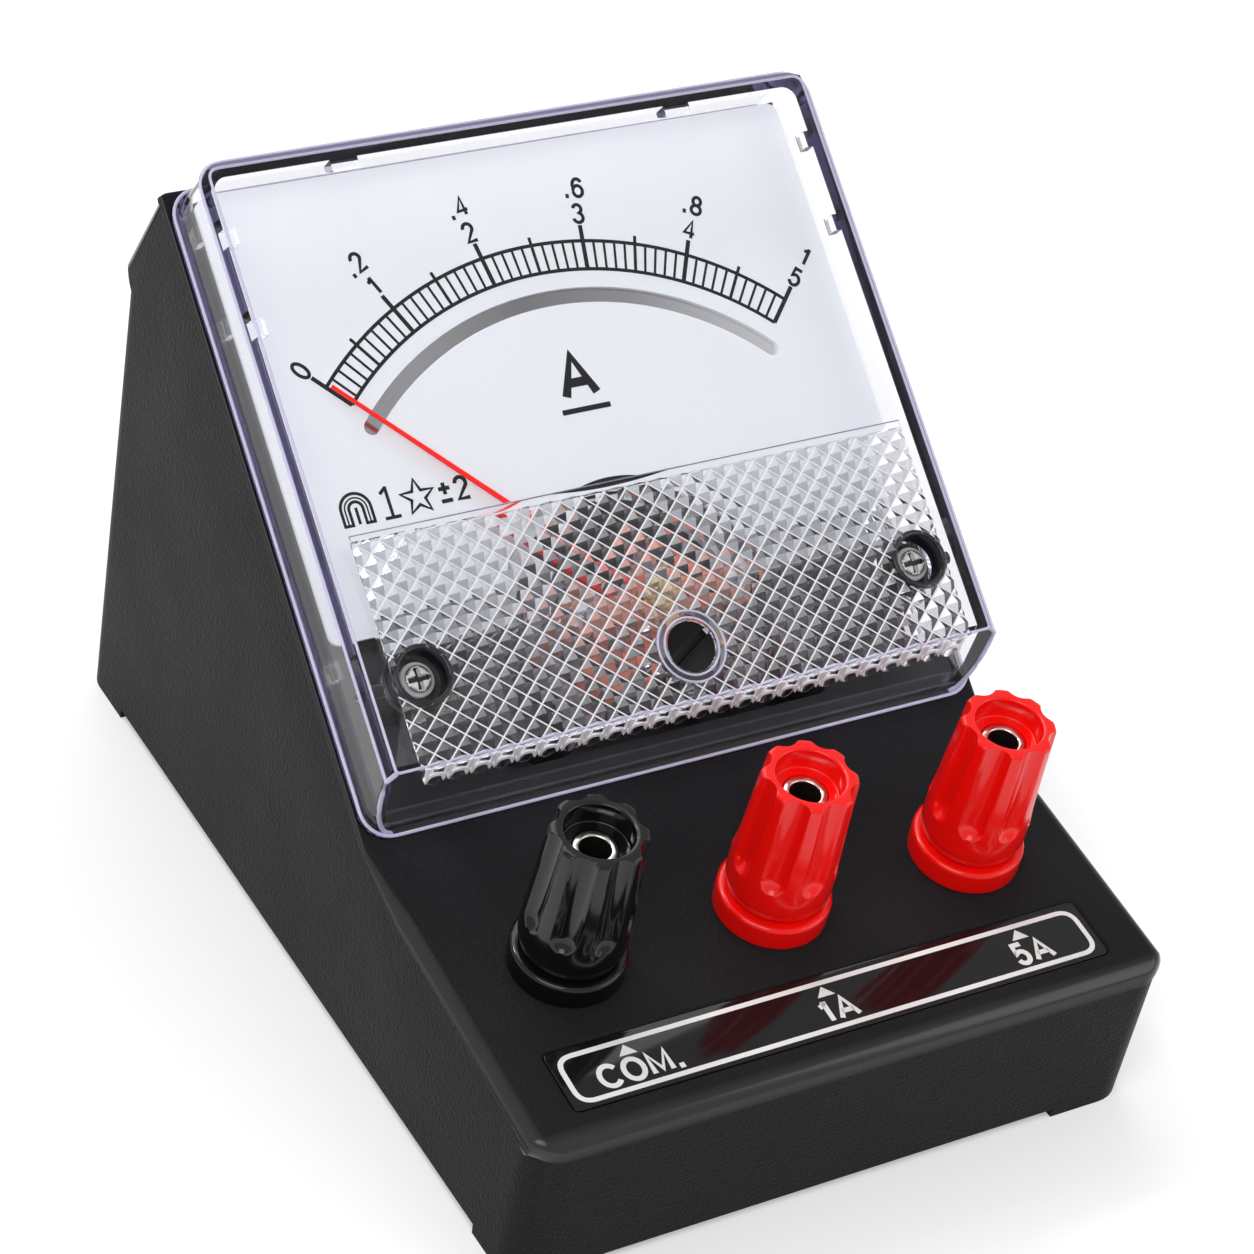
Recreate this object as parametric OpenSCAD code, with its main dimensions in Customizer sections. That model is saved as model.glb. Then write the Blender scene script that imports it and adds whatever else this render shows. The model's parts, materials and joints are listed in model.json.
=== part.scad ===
// Bench ammeter with two ranges: a moving-coil movement under a clear cover,
// on a sloped panel, with three screw terminals on a deck in front of it.
// Millimetres, +Z up, the front faces -Y, origin on the table below the middle.

/* [Case] */
// Overall width of the housing
body_w = 95.4; // [88:0.2:110]
// Overall depth of the housing
body_d = 139; // [132:0.5:160]
// Height of the deck's front edge above the table
deck_front_h = 25; // [22:0.5:32]
// Depth of the deck from the front to the crease
deck_d = 39.6; // [37:0.2:46]
// Slope of the deck, degrees
deck_slope = 8.2; // [5:0.1:11]
// Depth of the sill between the crease and the panel
sill_d = 11; // [8:0.2:16]
// Slope of the sill, degrees
sill_slope = 14; // [11:0.5:18]
// Slope of the meter panel, degrees
panel_slope = 38.3; // [36:0.1:41]
// Height of the rear shoulder
shoulder_h = 73; // [66:0.5:80]
// How far the front wall leans in at its foot
front_in = 2.2; // [0:0.1:3]
// How far the rear wall leans in at the shoulder
shoulder_in = 5.7; // [3:0.1:9]
// Thickness of the moulded walls
wall = 2.5; // [2:0.1:3.2]
// Radius of the upright corners
corner_r = 5; // [4:0.1:7]
// Radius of the deck's front edge
edge_r = 3; // [1:0.1:4]
// Radius of the rear shoulder
shoulder_r = 8; // [3:0.5:12]
// Height of the corner pads below the skirt
pad_h = 1.5; // [0.8:0.1:2.5]
// Length of a corner pad along each side
pad_l = 13; // [9:0.5:18]
// Thickness of the bottom cover
bottom_t = 2; // [1.5:0.1:3]

/* [Meter cover] */
// Visible rim of the housing around the cover
rim_w = 0.7; // [0.5:0.1:1.5]
// Length of the cover up the panel
cover_l = 90.4; // [88:0.2:94]
// Height of the cover above the panel
cover_h = 12.5; // [12:0.1:14]
// How far the cover's lower wall slants in
cover_slant = 5.9; // [4:0.1:8]
// Thickness of the cover's side walls
cover_wall = 2; // [1.6:0.1:2.4]
// Thickness of the cover's front
cover_front = 2.2; // [2:0.1:2.4]
// Radius of the cover's corners
cover_r = 4; // [3:0.1:5]
// Bevel of the cover's front edges
cover_edge = 1.2; // [0.8:0.1:2]
// Pitch of the diamond prisms across the cover
prism_pitch = 3.3; // [3:0.1:4]
// Pitch of the diamond prisms up the cover
prism_pitch_s = 3; // [2.8:0.1:4]
// Height of a prism from valley to tip
prism_h = 0.85; // [0.4:0.05:1.2]
// Height of the prism band up the cover
band_l = 30.4; // [28:0.1:32]
// Distance of the cover's screws from the middle
screw_x = 37.9; // [36:0.1:39]
// Place of the cover's screws up the panel
screw_s = 18.1; // [16:0.1:20]
// Inner radius of a screw well
well_r = 3.5; // [3.2:0.1:4]

/* [Dial and movement] */
// Place of the pointer's axis up the panel
pivot_s = 22.5; // [21.5:0.1:23.5]
// Height of the dial's face above the panel
dial_n = 4.9; // [4.6:0.1:5.2]
// Thickness of the dial plate
dial_t = 0.6; // [0.4:0.1:0.8]
// Gap between the dial plate and each side wall of the cover
dial_side = 0.8; // [0.7:0.1:1.5]
// Outer radius of the scale
scale_r = 51.4; // [49:0.1:53]
// Sweep of the scale, degrees
scale_sweep = 87.2; // [80:0.2:90]
// Middle radius of the mirror slot
mirror_r = 43.6; // [42:0.1:45]
// Width of the mirror slot
mirror_w = 2.2; // [1.6:0.1:2.8]
// Radius of the dial's arch around the movement
arch_r = 17; // [16.6:0.1:18]
// Radius of the iron core
core_r = 8; // [7:0.1:8.4]
// Length of the iron core
core_l = 12; // [10:0.2:13]
// Radial air gap for the coil
air_gap = 2.2; // [2:0.05:2.5]
// Outer radius of the magnet
magnet_r = 22; // [20.5:0.1:23]
// Place of the zero adjuster up the panel
adjuster_s = 13.6; // [13.3:0.1:14]
// Radius of the zero adjuster's head
adjuster_r = 3.5; // [3.2:0.1:4]

/* [Terminals] */
// Distance of the outer terminals from the case's sides
post_edge = 17.2; // [15:0.1:20]
// Distance of the terminals from the deck's front edge
post_s = 26.8; // [25.5:0.1:28]
// Height of a terminal above the deck
post_h = 24.6; // [23:0.1:28]
// Outer radius of a collar
collar_r = 7.7; // [7.4:0.1:8.5]
// Height of a collar
collar_h = 3.5; // [2.5:0.1:4.5]
// Radius of a cap at its foot
cap_r = 7.1; // [6.9:0.1:7.3]
// Radius of a cap at its top
cap_top_r = 6.3; // [6.1:0.1:6.8]
// Radius of the socket bore
socket_r = 2; // [1.9:0.05:2.05]
// Depth of the socket bore
socket_l = 14; // [12:0.5:15]
// Outer radius of a stud
stud_r = 3; // [2.8:0.05:3.2]
// Depth of the recess in a cap's top
cap_recess = 3.2; // [2.5:0.1:4]
// Flutes around a cap
flutes = 8; // [6:1:10]

/* [Label] */
// Length of the label strip
label_w = 80.6; // [74:0.2:84]
// Height of the label strip along the deck
label_l = 9.6; // [8:0.1:10]
// Distance of the label from the deck's front edge
label_s = 4.8; // [4.4:0.1:5.4]

/* [Hidden] */
$fn = 64;

// Clearances: a close fit, a running fit and a seat between faces
fit = 0.1;
run = 0.05;
seat = 0.05;
eps = 0.01;
far = 300;

// Side profile of the case, in depth and height, from the front foot round to the rear foot
front_y = -body_d / 2;
rear_y = body_d / 2;
crease = [front_y + deck_d, deck_front_h + deck_d * tan(deck_slope)];
panel_foot = [crease[0] + sill_d, crease[1] + sill_d * tan(sill_slope)];
panel_l = cover_l + 2 * rim_w;
panel_top = panel_foot + panel_l * [cos(panel_slope), sin(panel_slope)];
case_profile = [
  [front_y + front_in, 0], [front_y, deck_front_h], crease, panel_foot, panel_top,
  [rear_y - shoulder_in, shoulder_h], [rear_y, 0]
];
profile_radii = [0, edge_r, 0, 0, 1, shoulder_r, 0];

// The panel carries the tray in a pocket, with a ledge below it
tray_t = 2.2;
ledge_t = 2.5;
open_foot = -20;
wall_list = [wall, wall, wall, tray_t + ledge_t, wall, wall, open_foot];
cover_w = body_w - 2 * rim_w;
tray_well_w = 54;
tray_well_s = [4.6, 48];
tray_well_depth = 17.5;
tray_wall = 1.6;

// Levels above the panel in the cover, from the front down to the movement
cover_inner_n = cover_h - cover_front;
bridge_t = 1.2;
bridge_n = cover_inner_n - 3;
lever_t = 0.6;
pointer_t = 0.35;
pointer_n = dial_n + 1;
core_n = -10;
coil_t = 1;
coil_gap = 0.5;
former_t = 0.4;
coil_n0 = core_n - 1.1 - coil_t;
coil_n1 = core_n + core_l + 1.1 + coil_t;
rear_bridge_n = coil_n0 - 1.8;
staff_r = 0.5;
pole_r = core_r + air_gap;
zero_angle = scale_sweep / 2;
eccentric = 1.4;

// Terminal levels above the deck
stud_top = post_h - cap_recess;
washer_t = 0.8;
washer_r = 5.4;
cap_foot = collar_h + 0.45;
spigot_r = 4.6;
nut_t = 3.2;
nut_af = 9;
tag_t = 0.6;
insulator_t = 2;
post_pitch = body_w / 2 - post_edge;
post_x = [-post_pitch, 0, post_pitch];

// Shell geometry: lines moved inward, and where two lines meet
function unit(v) = v / norm(v);
function inward(a, b) = let (d = unit(b - a)) [d[1], -d[0]];
function meet(p, d, q, e) = p + d * ((q - p)[0] * e[1] - (q - p)[1] * e[0]) / (d[0] * e[1] - d[1] * e[0]);
function moved_corner(a, b, c, t1, t2) =
  meet(b + inward(a, b) * t1, b - a, b + inward(b, c) * t2, c - b);
function inset(pts, t) = let (n = len(pts)) [
  for (i = [0:n - 1]) moved_corner(pts[(i + n - 1) % n], pts[i], pts[(i + 1) % n], t[(i + n - 1) % n], t[i])
];

// Tangent points and centre of a fillet of radius r at corner b between a and c
function half_angle(a, b, c) = acos(unit(a - b) * unit(c - b)) / 2;
function tangent(a, b, c, r) = r / tan(half_angle(a, b, c));
function fillet_centre(a, b, c, r) = b + unit(unit(a - b) + unit(c - b)) * r / sin(half_angle(a, b, c));
function cut_corners(pts, r) = let (n = len(pts)) [
  for (i = [0:n - 1]) let (a = pts[(i + n - 1) % n], b = pts[i], c = pts[(i + 1) % n])
    each r[i] == 0 ? [b] : [b + unit(a - b) * tangent(a, b, c, r[i]), b + unit(c - b) * tangent(a, b, c, r[i])]
];

// A polygon whose outward corners are rounded by true arcs
module rounded_polygon(pts, radii) {
  n = len(pts);
  polygon(cut_corners(pts, radii));
  for (i = [0:n - 1])
    if (radii[i] > 0)
      translate(fillet_centre(pts[(i + n - 1) % n], pts[i], pts[(i + 1) % n], radii[i]))
        circle(radii[i]);
}

// A rectangle about the origin with round corners
module round_rect(w, l, r) {
  square([w - 2 * r, l], center = true);
  square([w, l - 2 * r], center = true);
  for (x = [-1, 1], y = [-1, 1])
    translate([x * (w / 2 - r), y * (l / 2 - r)]) circle(r);
}

// Extrudes a depth and height profile across the width
module across(w) {
  translate([-w / 2, 0, 0]) rotate([90, 0, 90]) linear_extrude(w) children();
}

// Frames of the panel, the deck, the pointer's axis and one terminal
module on_panel() {
  translate([0, panel_foot[0], panel_foot[1]]) rotate([panel_slope, 0, 0]) children();
}
module on_deck() {
  translate([0, front_y, deck_front_h]) rotate([deck_slope, 0, 0]) children();
}
module on_pivot() {
  on_panel() translate([0, pivot_s, 0]) children();
}
module on_post(x) {
  on_deck() translate([x, post_s, 0]) children();
}
module at_cover_screws() {
  for (x = [-screw_x, screw_x]) translate([x, screw_s, 0]) children();
}
module at_bottom_screws() {
  for (x = [-1, 1], y = [-1, 1])
    translate([x * (body_w / 2 - boss_in), y * (body_d / 2 - boss_in), 0]) children();
}

// A flat ring from n0 to n1
module tube(r_out, r_in, n0, n1) {
  translate([0, 0, n0]) difference() {
    cylinder(h = n1 - n0, r = r_out);
    translate([0, 0, -1]) cylinder(h = n1 - n0 + 2, r = r_in);
  }
}

// Sector of a ring in the plane, symmetric about +Y, with round ends
module arc_slot(r_mid, w, half) {
  intersection() {
    difference() {
      circle(r_mid + w / 2, $fn = 180);
      circle(r_mid - w / 2, $fn = 180);
    }
    polygon([[0, 0], for (k = [-2:2]) 2 * r_mid * [sin(k * half / 2), cos(k * half / 2)]]);
  }
  for (k = [-1, 1])
    translate(r_mid * [sin(k * half), cos(k * half)]) circle(w / 2);
}

// Case

boss_in = 9;
boss_r = 3.6;
boss_h = 18;
boss_web = 2;
bottom_screw_r = 1.45;
bottom_screw_head_r = 2.8;
bottom_screw_l = 12;
skirt_z = pad_h + 0.3;
boss_z = skirt_z + bottom_t;
cavity_profile = inset(case_profile, wall_list);
inner_w = body_w - 2 * wall;

module case_plan(inner) {
  round_rect(body_w - 2 * inner, body_d - 2 * inner, corner_r - inner);
}

module case_block() {
  intersection() {
    across(body_w) rounded_polygon(case_profile, profile_radii);
    linear_extrude(far) case_plan(0);
  }
}

module case_cavity() {
  intersection() {
    across(inner_w) polygon(cavity_profile);
    translate([0, 0, -1]) linear_extrude(far) case_plan(wall);
  }
}

module skirt_relief() {
  translate([0, 0, pad_h / 2 - 1]) {
    cube([body_w - 2 * pad_l, 2 * body_d, pad_h + 2], center = true);
    cube([2 * body_w, body_d - 2 * pad_l, pad_h + 2], center = true);
  }
}

module housing() {
  color("#26262a") {
    difference() {
      case_block();
      case_cavity();
      skirt_relief();
      on_panel() translate([0, panel_l / 2, -tray_t]) linear_extrude(far)
        round_rect(cover_w + 2 * fit, cover_l + 2 * fit, cover_r + fit);
      on_panel() translate([0, (tray_well_s[0] + tray_well_s[1]) / 2, -tray_t - ledge_t - 1])
        linear_extrude(ledge_t + 2)
          square([tray_well_w + 1, tray_well_s[1] - tray_well_s[0] + 1], center = true);
      on_panel() at_cover_screws() translate([0, 0, -tray_t - ledge_t - 1])
        cylinder(h = ledge_t + 2, r = screw_shank_r + run);
      for (x = post_x)
        on_post(x) translate([0, 0, -wall - 2]) cylinder(h = wall + 4, r = spigot_r + fit);
      on_deck() translate([0, label_s + label_l / 2, -label_t]) linear_extrude(far)
        round_rect(label_w + 2 * fit, label_l + 2 * fit, label_r + fit);
    }
    bottom_bosses();
  }
}

// Four posts inside the corners, for the bottom cover's screws, each with a web to the side wall
module bottom_bosses() {
  difference() {
    intersection() {
      union() {
        at_bottom_screws() translate([0, 0, boss_z]) cylinder(h = boss_h, r = boss_r);
        for (y = [-1, 1]) difference() {
          translate([0, y * (body_d / 2 - boss_in), boss_z + boss_h / 2])
            cube([body_w - wall, boss_web, boss_h], center = true);
          cube([body_w - 2 * boss_in, far, far], center = true);
        }
      }
      boss_limit();
    }
    at_bottom_screws() translate([0, 0, boss_z - 1])
      cylinder(h = bottom_screw_l - bottom_t + 3, r = bottom_screw_r + run);
  }
}

// The space below the case's roof that a boss may fill
module boss_limit() {
  across(body_w) polygon(inset(case_profile, [0, wall / 2, wall / 2, wall / 2, wall / 2, 0, open_foot]));
}

module bottom_cover() {
  color("#202023") translate([0, 0, skirt_z]) difference() {
    intersection() {
      linear_extrude(bottom_t) round_rect(inner_w - 2 * fit, body_d - 2 * wall, corner_r - wall);
      translate([0, 0, -skirt_z]) across(body_w) polygon(inset(case_profile, [for (t = wall_list) t + fit]));
    }
    at_bottom_screws() {
      translate([0, 0, -1]) cylinder(h = bottom_t + 2, r = bottom_screw_r + fit);
      translate([0, 0, -1]) cylinder(h = 1 + bottom_t / 2, r = bottom_screw_head_r + fit);
    }
  }
}

module bottom_screws() {
  color("silver") translate([0, 0, skirt_z]) at_bottom_screws() {
    translate([0, 0, bottom_t / 2 - bottom_head_t]) difference() {
      cylinder(h = bottom_head_t, r = bottom_screw_head_r);
      cross_slot(bottom_screw_head_r, bottom_head_t / 2);
    }
    translate([0, 0, bottom_t / 2]) cylinder(h = bottom_screw_l - bottom_t / 2, r = bottom_screw_r);
  }
}
bottom_head_t = 0.9;

// Cross-shaped drive recess of the given depth, cut upward from z = 0
module cross_slot(r, depth) {
  for (a = [0, 90]) rotate(a)
    cube([1.2 * r, 0.32 * r, 2 * depth], center = true);
}

label_t = 0.8;
label_r = 1;
module label_plate() {
  color("#0c0c0e") on_deck() translate([0, label_s + label_l / 2, -label_t]) linear_extrude(label_t - 0.15)
    round_rect(label_w, label_l, label_r);
}

// Tray and clear cover

screw_shank_r = 1.4;
screw_head_r = 2.4;
screw_head_t = 1.7;
well_floor_n = cover_h - 3.9;
well_floor_t = 1.2;
dial_post_r = 2;
dial_post_x = 33;
dial_post_s = [40, 84];
bridge_leg_x = 12.1;
bridge_leg_r = 1.8;

module meter_base() {
  color("#232326") on_panel() difference() {
    union() {
      translate([0, panel_l / 2, -tray_t]) linear_extrude(tray_t) round_rect(cover_w, cover_l, cover_r);
      tray_box(tray_wall, -tray_well_depth - tray_wall);
      at_cover_screws() cylinder(h = well_floor_n - seat, r = well_r);
      for (x = [-dial_post_x, dial_post_x], s = dial_post_s)
        translate([x, s, 0]) cylinder(h = dial_n - dial_t, r = dial_post_r);
    }
    difference() {
      translate([0, 0, tray_well_depth]) tray_box(0, -2 * tray_well_depth);
      movement_pillars();
    }
    translate([0, pivot_s, 0]) for (x = [-bridge_leg_x, bridge_leg_x])
      translate([x, 0, -tray_well_depth - tray_wall / 2]) cylinder(h = far, r = screw_m2_r + run);
    at_cover_screws() translate([0, 0, -tray_t - 1]) cylinder(h = far, r = screw_shank_r + fit);
    translate([0, pivot_s, 0]) for (x = lead_x)
      translate([x, lead_dy, -tray_well_depth - tray_wall - 1]) cylinder(h = tray_wall + 2, r = wire_r + fit);
  }
}

// Pillars on the floor of the tray's well, under the rear bridge and the magnet
module movement_pillars() {
  floor_n = -tray_well_depth - 1;
  translate([0, pivot_s, floor_n]) {
    for (x = [-bridge_leg_x, bridge_leg_x])
      translate([x, 0, 0]) cylinder(h = rear_bridge_n - bridge_t - floor_n, r = bridge_leg_r + 0.6);
    for (a = [-pillar_angle, 0, pillar_angle]) rotate(a)
      translate([0, (magnet_r + shoe_r) / 2, 0]) cylinder(h = core_n - floor_n, r = pillar_r);
  }
}
pillar_angle = 60;
pillar_r = 2.5;

// Box-shaped well of the tray, grown by the given wall and reaching down to n0
module tray_box(grow, n0) {
  w = tray_well_w - 2 * tray_wall + 2 * grow;
  l = tray_well_s[1] - tray_well_s[0] - 2 * tray_wall + 2 * grow;
  translate([0, (tray_well_s[0] + tray_well_s[1]) / 2, n0]) linear_extrude(-n0 - seat)
    round_rect(w, l, 2 + grow);
}

// Section of the cover along the panel: a flange at the foot, and a lower wall that slants in to the front
flange_t = 1.2;
flange_out = 0.45;
module cover_section(inner) {
  front = cover_h - (inner > 0 ? cover_front : 0);
  foot = rim_w + flange_out + inner;
  head = rim_w + cover_l - flange_out - inner;
  slant = (cover_slant - flange_out) * front / cover_h;
  polygon(inner > 0
    ? [[foot, -1], [head, -1], [head, front], [foot + slant, front], [foot, 0]]
    : [[foot, 0], [head, 0], [head, front - cover_edge], [head - cover_edge, front], [foot + slant, front]]);
}

module cover_block(inner) {
  w = cover_w / 2 - flange_out - inner;
  intersection() {
    across(cover_w) cover_section(inner);
    translate([0, panel_l / 2, -2]) linear_extrude(far)
      round_rect(2 * w, cover_l - 2 * inner - 2 * flange_out, cover_r - inner);
    if (inner == 0) translate([0, panel_l, 0]) rotate([90, 0, 0]) linear_extrude(panel_l) polygon([
      [-w, -1], [w, -1], [w, cover_h - cover_edge], [w - cover_edge, cover_h],
      [cover_edge - w, cover_h], [-w, cover_h - cover_edge]
    ]);
  }
}

// Flange around the cover's foot
module cover_flange() {
  translate([0, panel_l / 2, 0]) linear_extrude(flange_t) difference() {
    round_rect(cover_w, cover_l, cover_r);
    round_rect(cover_w - 2 * cover_wall, cover_l - 2 * cover_wall, cover_r - cover_wall);
  }
}

// Prism band: where two families of ridges cross, the lower of the two leaves square-based prisms
prism_back = 0.5;
prism_lift = 0.05;
band_in = 5;
band_w = cover_w - 2 * band_in;
band_s = rim_w + cover_slant - 0.3;
band_top = band_s + band_l;
ridge_angle = atan2(prism_pitch_s, prism_pitch);
ridge_pitch = prism_pitch * sin(ridge_angle);
ridge_count = 2 * ceil((band_w * sin(ridge_angle) + band_l * cos(ridge_angle)) / 2 / ridge_pitch);

// A plate of parallel ridges, turned by the given angle
module ridge_plate(turn) {
  half = ridge_count * ridge_pitch / 2;
  rotate(turn) rotate([90, 0, 0]) linear_extrude(band_w + band_l, center = true) polygon(concat(
    [for (k = [-ridge_count:ridge_count]) [k * ridge_pitch / 2, k % 2 == 0 ? prism_h : 0]],
    [[half, -prism_back], [-half, -prism_back]]
  ));
}

module prism_band() {
  intersection() {
    ridge_plate(90 - ridge_angle);
    ridge_plate(ridge_angle - 90);
    translate([-band_w / 2, -band_l / 2, -1]) cube([band_w, band_l, prism_h + 2]);
  }
}

hook_x = 25.5;
hook_w = 4;
rail_w = 1.2;
ridge_r = 0.6;
boss_out_r = 5;

module meter_cover() {
  color("#dfe4f4", 0.35) on_panel() difference() {
    cover_shell();
    cover_openings();
  }
}

module cover_shell() {
  difference() {
    cover_block(0);
    cover_block(cover_wall);
  }
  cover_flange();
  translate([0, band_s + band_l / 2, cover_h + prism_lift]) prism_band();
  translate([0, band_top + ridge_r, cover_h]) rotate([0, 90, 0]) cylinder(h = band_w, r = ridge_r, center = true);
  at_cover_screws() translate([0, 0, well_floor_n]) cylinder(h = cover_h - well_floor_n - eps, r = well_r + 1);
  translate([0, adjuster_s, cover_inner_n - 1]) cylinder(h = cover_front + 1 + prism_h, r = boss_out_r);
  cover_hooks();
  cover_rails();
}

// Screw wells and the zero adjuster's bore
module cover_openings() {
  at_cover_screws() {
    translate([0, 0, well_floor_n + well_floor_t]) cylinder(h = far, r = well_r);
    cylinder(h = far, r = screw_shank_r + fit);
  }
  translate([0, adjuster_s, 0]) {
    cylinder(h = far, r = adjuster_neck_r + run);
    translate([0, 0, adjuster_seat_n]) cylinder(h = far, r = adjuster_r + run);
  }
}

// Two latch hooks under the cover's top wall
module cover_hooks() {
  for (x = [-hook_x, hook_x])
    translate([x - hook_w / 2, rim_w + cover_l - cover_wall, cover_inner_n]) rotate([90, 0, 90])
      linear_extrude(hook_w) polygon([[eps, eps], [-2.2, eps], [-1.2, -2.4], [eps, -2.4]]);
}

// Lugs at the foot of the side walls, tabs under the front edge, and a peg beside each screw well
lug_s = [22.4, 70.2, 83.3];
tab_s = [67.1, 79.8];
lug_l = 2.4;
lug_w = 1.3;
lug_n = [1, 3.6];
tab_h = 1.8;
peg_r = 0.9;
peg_l = 3;
module cover_rails() {
  wall_x = cover_w / 2 - flange_out - cover_wall;
  for (x = [-1, 1]) {
    for (l = lug_s) translate([x * (wall_x - lug_w / 2 + fit), l + rim_w, (lug_n[0] + lug_n[1]) / 2])
      cube([lug_w, lug_l, lug_n[1] - lug_n[0]], center = true);
    for (t = tab_s) translate([x * (wall_x - lug_w / 2 + fit), t + rim_w, cover_inner_n - tab_h / 2 + fit])
      cube([lug_w, lug_l, tab_h], center = true);
    translate([x * (screw_x + well_r + 0.5), screw_s, cover_inner_n - 2 * peg_r]) rotate([0, x * 90, 0])
      cylinder(h = peg_l, r = peg_r);
  }
}

module cover_screws() {
  color("silver") on_panel() at_cover_screws() {
    head_n = well_floor_n + well_floor_t;
    translate([0, 0, head_n]) difference() {
      intersection() {
        cylinder(h = screw_head_t, r = screw_head_r);
        translate([0, 0, screw_head_t - dome_r]) sphere(dome_r, $fn = 96);
      }
      translate([0, 0, screw_head_t]) cross_slot(screw_head_r, screw_head_t * 0.6);
    }
    translate([0, 0, -tray_t - ledge_t]) cylinder(h = head_n + tray_t + ledge_t, r = screw_shank_r);
  }
}
dome_r = 3.6;

// Dial

mirror_margin = 0.8;
mirror_t = 0.5;
mirror_half = zero_angle + 1.5;
dial_s0 = 25.8;
dial_top_gap = 0.6;

module dial_plate() {
  top = rim_w + cover_l - cover_wall - dial_top_gap;
  color("#eef2f8") on_panel() translate([0, 0, dial_n - dial_t]) linear_extrude(dial_t) difference() {
    translate([0, (dial_s0 + top) / 2]) round_rect(cover_w - 2 * cover_wall - 2 * dial_side, top - dial_s0, 1.5);
    translate([0, pivot_s]) circle(arch_r, $fn = 120);
    translate([0, pivot_s]) arc_slot(mirror_r, mirror_w, mirror_half);
  }
}

module mirror_strip() {
  color("#b8bcc4") on_pivot() translate([0, 0, dial_n - dial_t - mirror_t]) linear_extrude(mirror_t)
    arc_slot(mirror_r, mirror_w + 2 * mirror_margin, mirror_half);
}

// Magnet system

shoe_half = 60;
shoe_r = 14;
magnet_open = 15;
bracket_w = 4;
core_bore_r = 1.5;

module sector(r, half) {
  polygon([[0, 0], for (k = [-4:4]) 2 * r * [sin(k * half / 4), cos(k * half / 4)]]);
}

// Horseshoe, open towards the cover's lower edge
module magnet() {
  color("#5a5a60") on_pivot() translate([0, 0, core_n]) linear_extrude(core_l) difference() {
    circle(magnet_r, $fn = 120);
    circle(shoe_r + fit, $fn = 120);
    translate([0, -magnet_r]) square([2 * magnet_open, 2 * magnet_r], center = true);
    translate([0, -far / 2 - pivot_s + tray_well_s[0] + tray_wall + 0.5]) square([far, far], center = true);
  }
}

module pole_shoes() {
  color("#8a8d92") on_pivot() for (a = [-90, 90]) rotate(a)
    translate([0, 0, core_n]) linear_extrude(core_l) intersection() {
      difference() {
        circle(shoe_r, $fn = 120);
        circle(pole_r, $fn = 120);
      }
      difference() {
        sector(shoe_r, shoe_half);
        translate([0, bridge_leg_x]) circle(screw_m2_r + fit);
      }
    }
}

module iron_core() {
  color("#9a9da2") on_pivot() tube(core_r, core_bore_r, core_n, core_n + core_l);
}

// Brass block that carries the core from the magnet's bend, clear of the coil's swing
module core_bracket() {
  color("#c9b26a") on_pivot() translate([0, 0, core_n + core_l / 4]) linear_extrude(core_l / 2) difference() {
    intersection() {
      circle(shoe_r + fit - seat, $fn = 120);
      translate([0, shoe_r / 2]) square([bracket_w, shoe_r + bracket_w / 2], center = true);
    }
    circle(core_r + seat, $fn = 120);
  }
}

module front_bridge() {
  color("#c9b26a") on_pivot() {
    translate([0, 0, bridge_n]) linear_extrude(bridge_t) bridge_outline();
    for (x = [-bridge_leg_x, bridge_leg_x]) translate([x, 0, core_n + core_l])
      tube(bridge_leg_r, screw_m2_r + fit, 0, bridge_n - core_n - core_l);
  }
}

module rear_bridge() {
  color("#c9b26a") on_pivot() {
    translate([0, 0, rear_bridge_n - bridge_t]) linear_extrude(bridge_t) bridge_outline();
    for (x = [-bridge_leg_x, bridge_leg_x]) translate([x, 0, 0])
      tube(bridge_leg_r, screw_m2_r + fit, rear_bridge_n, core_n);
  }
}

screw_m2_r = 0.9;
jewel_r = 1.2;
jewel_head_r = 2;
module bridge_outline() {
  difference() {
    union() {
      square([2 * bridge_leg_x, 4], center = true);
      for (x = [-bridge_leg_x, bridge_leg_x]) translate([x, 0]) circle(3);
      circle(3.2);
    }
    for (x = [-bridge_leg_x, bridge_leg_x]) translate([x, 0]) circle(screw_m2_r + fit);
    circle(jewel_r + run);
  }
}

module bridge_screws() {
  color("silver") on_pivot() for (x = [-bridge_leg_x, bridge_leg_x]) translate([x, 0, 0]) {
    top = bridge_n + bridge_t;
    translate([0, 0, top]) difference() {
      cylinder(h = 0.9, r = 1.7);
      translate([0, 0, 0.9]) cube([4, 0.5, 0.8], center = true);
    }
    foot = -tray_well_depth;
    translate([0, 0, foot]) cylinder(h = top - foot, r = screw_m2_r);
  }
}

module jewel_screws() {
  color("#d8c070") on_pivot() {
    tube(jewel_r, staff_r + run, bridge_n - 0.6, bridge_n + bridge_t + lever_t + 0.2);
    translate([0, 0, bridge_n + bridge_t + lever_t + 0.2]) cylinder(h = 0.6, r = jewel_head_r);
    tube(jewel_r, staff_r + run, rear_bridge_n - bridge_t - 0.3, rear_bridge_n + 0.6);
    translate([0, 0, rear_bridge_n - bridge_t - 0.9]) cylinder(h = 0.6, r = jewel_head_r);
  }
}

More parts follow.
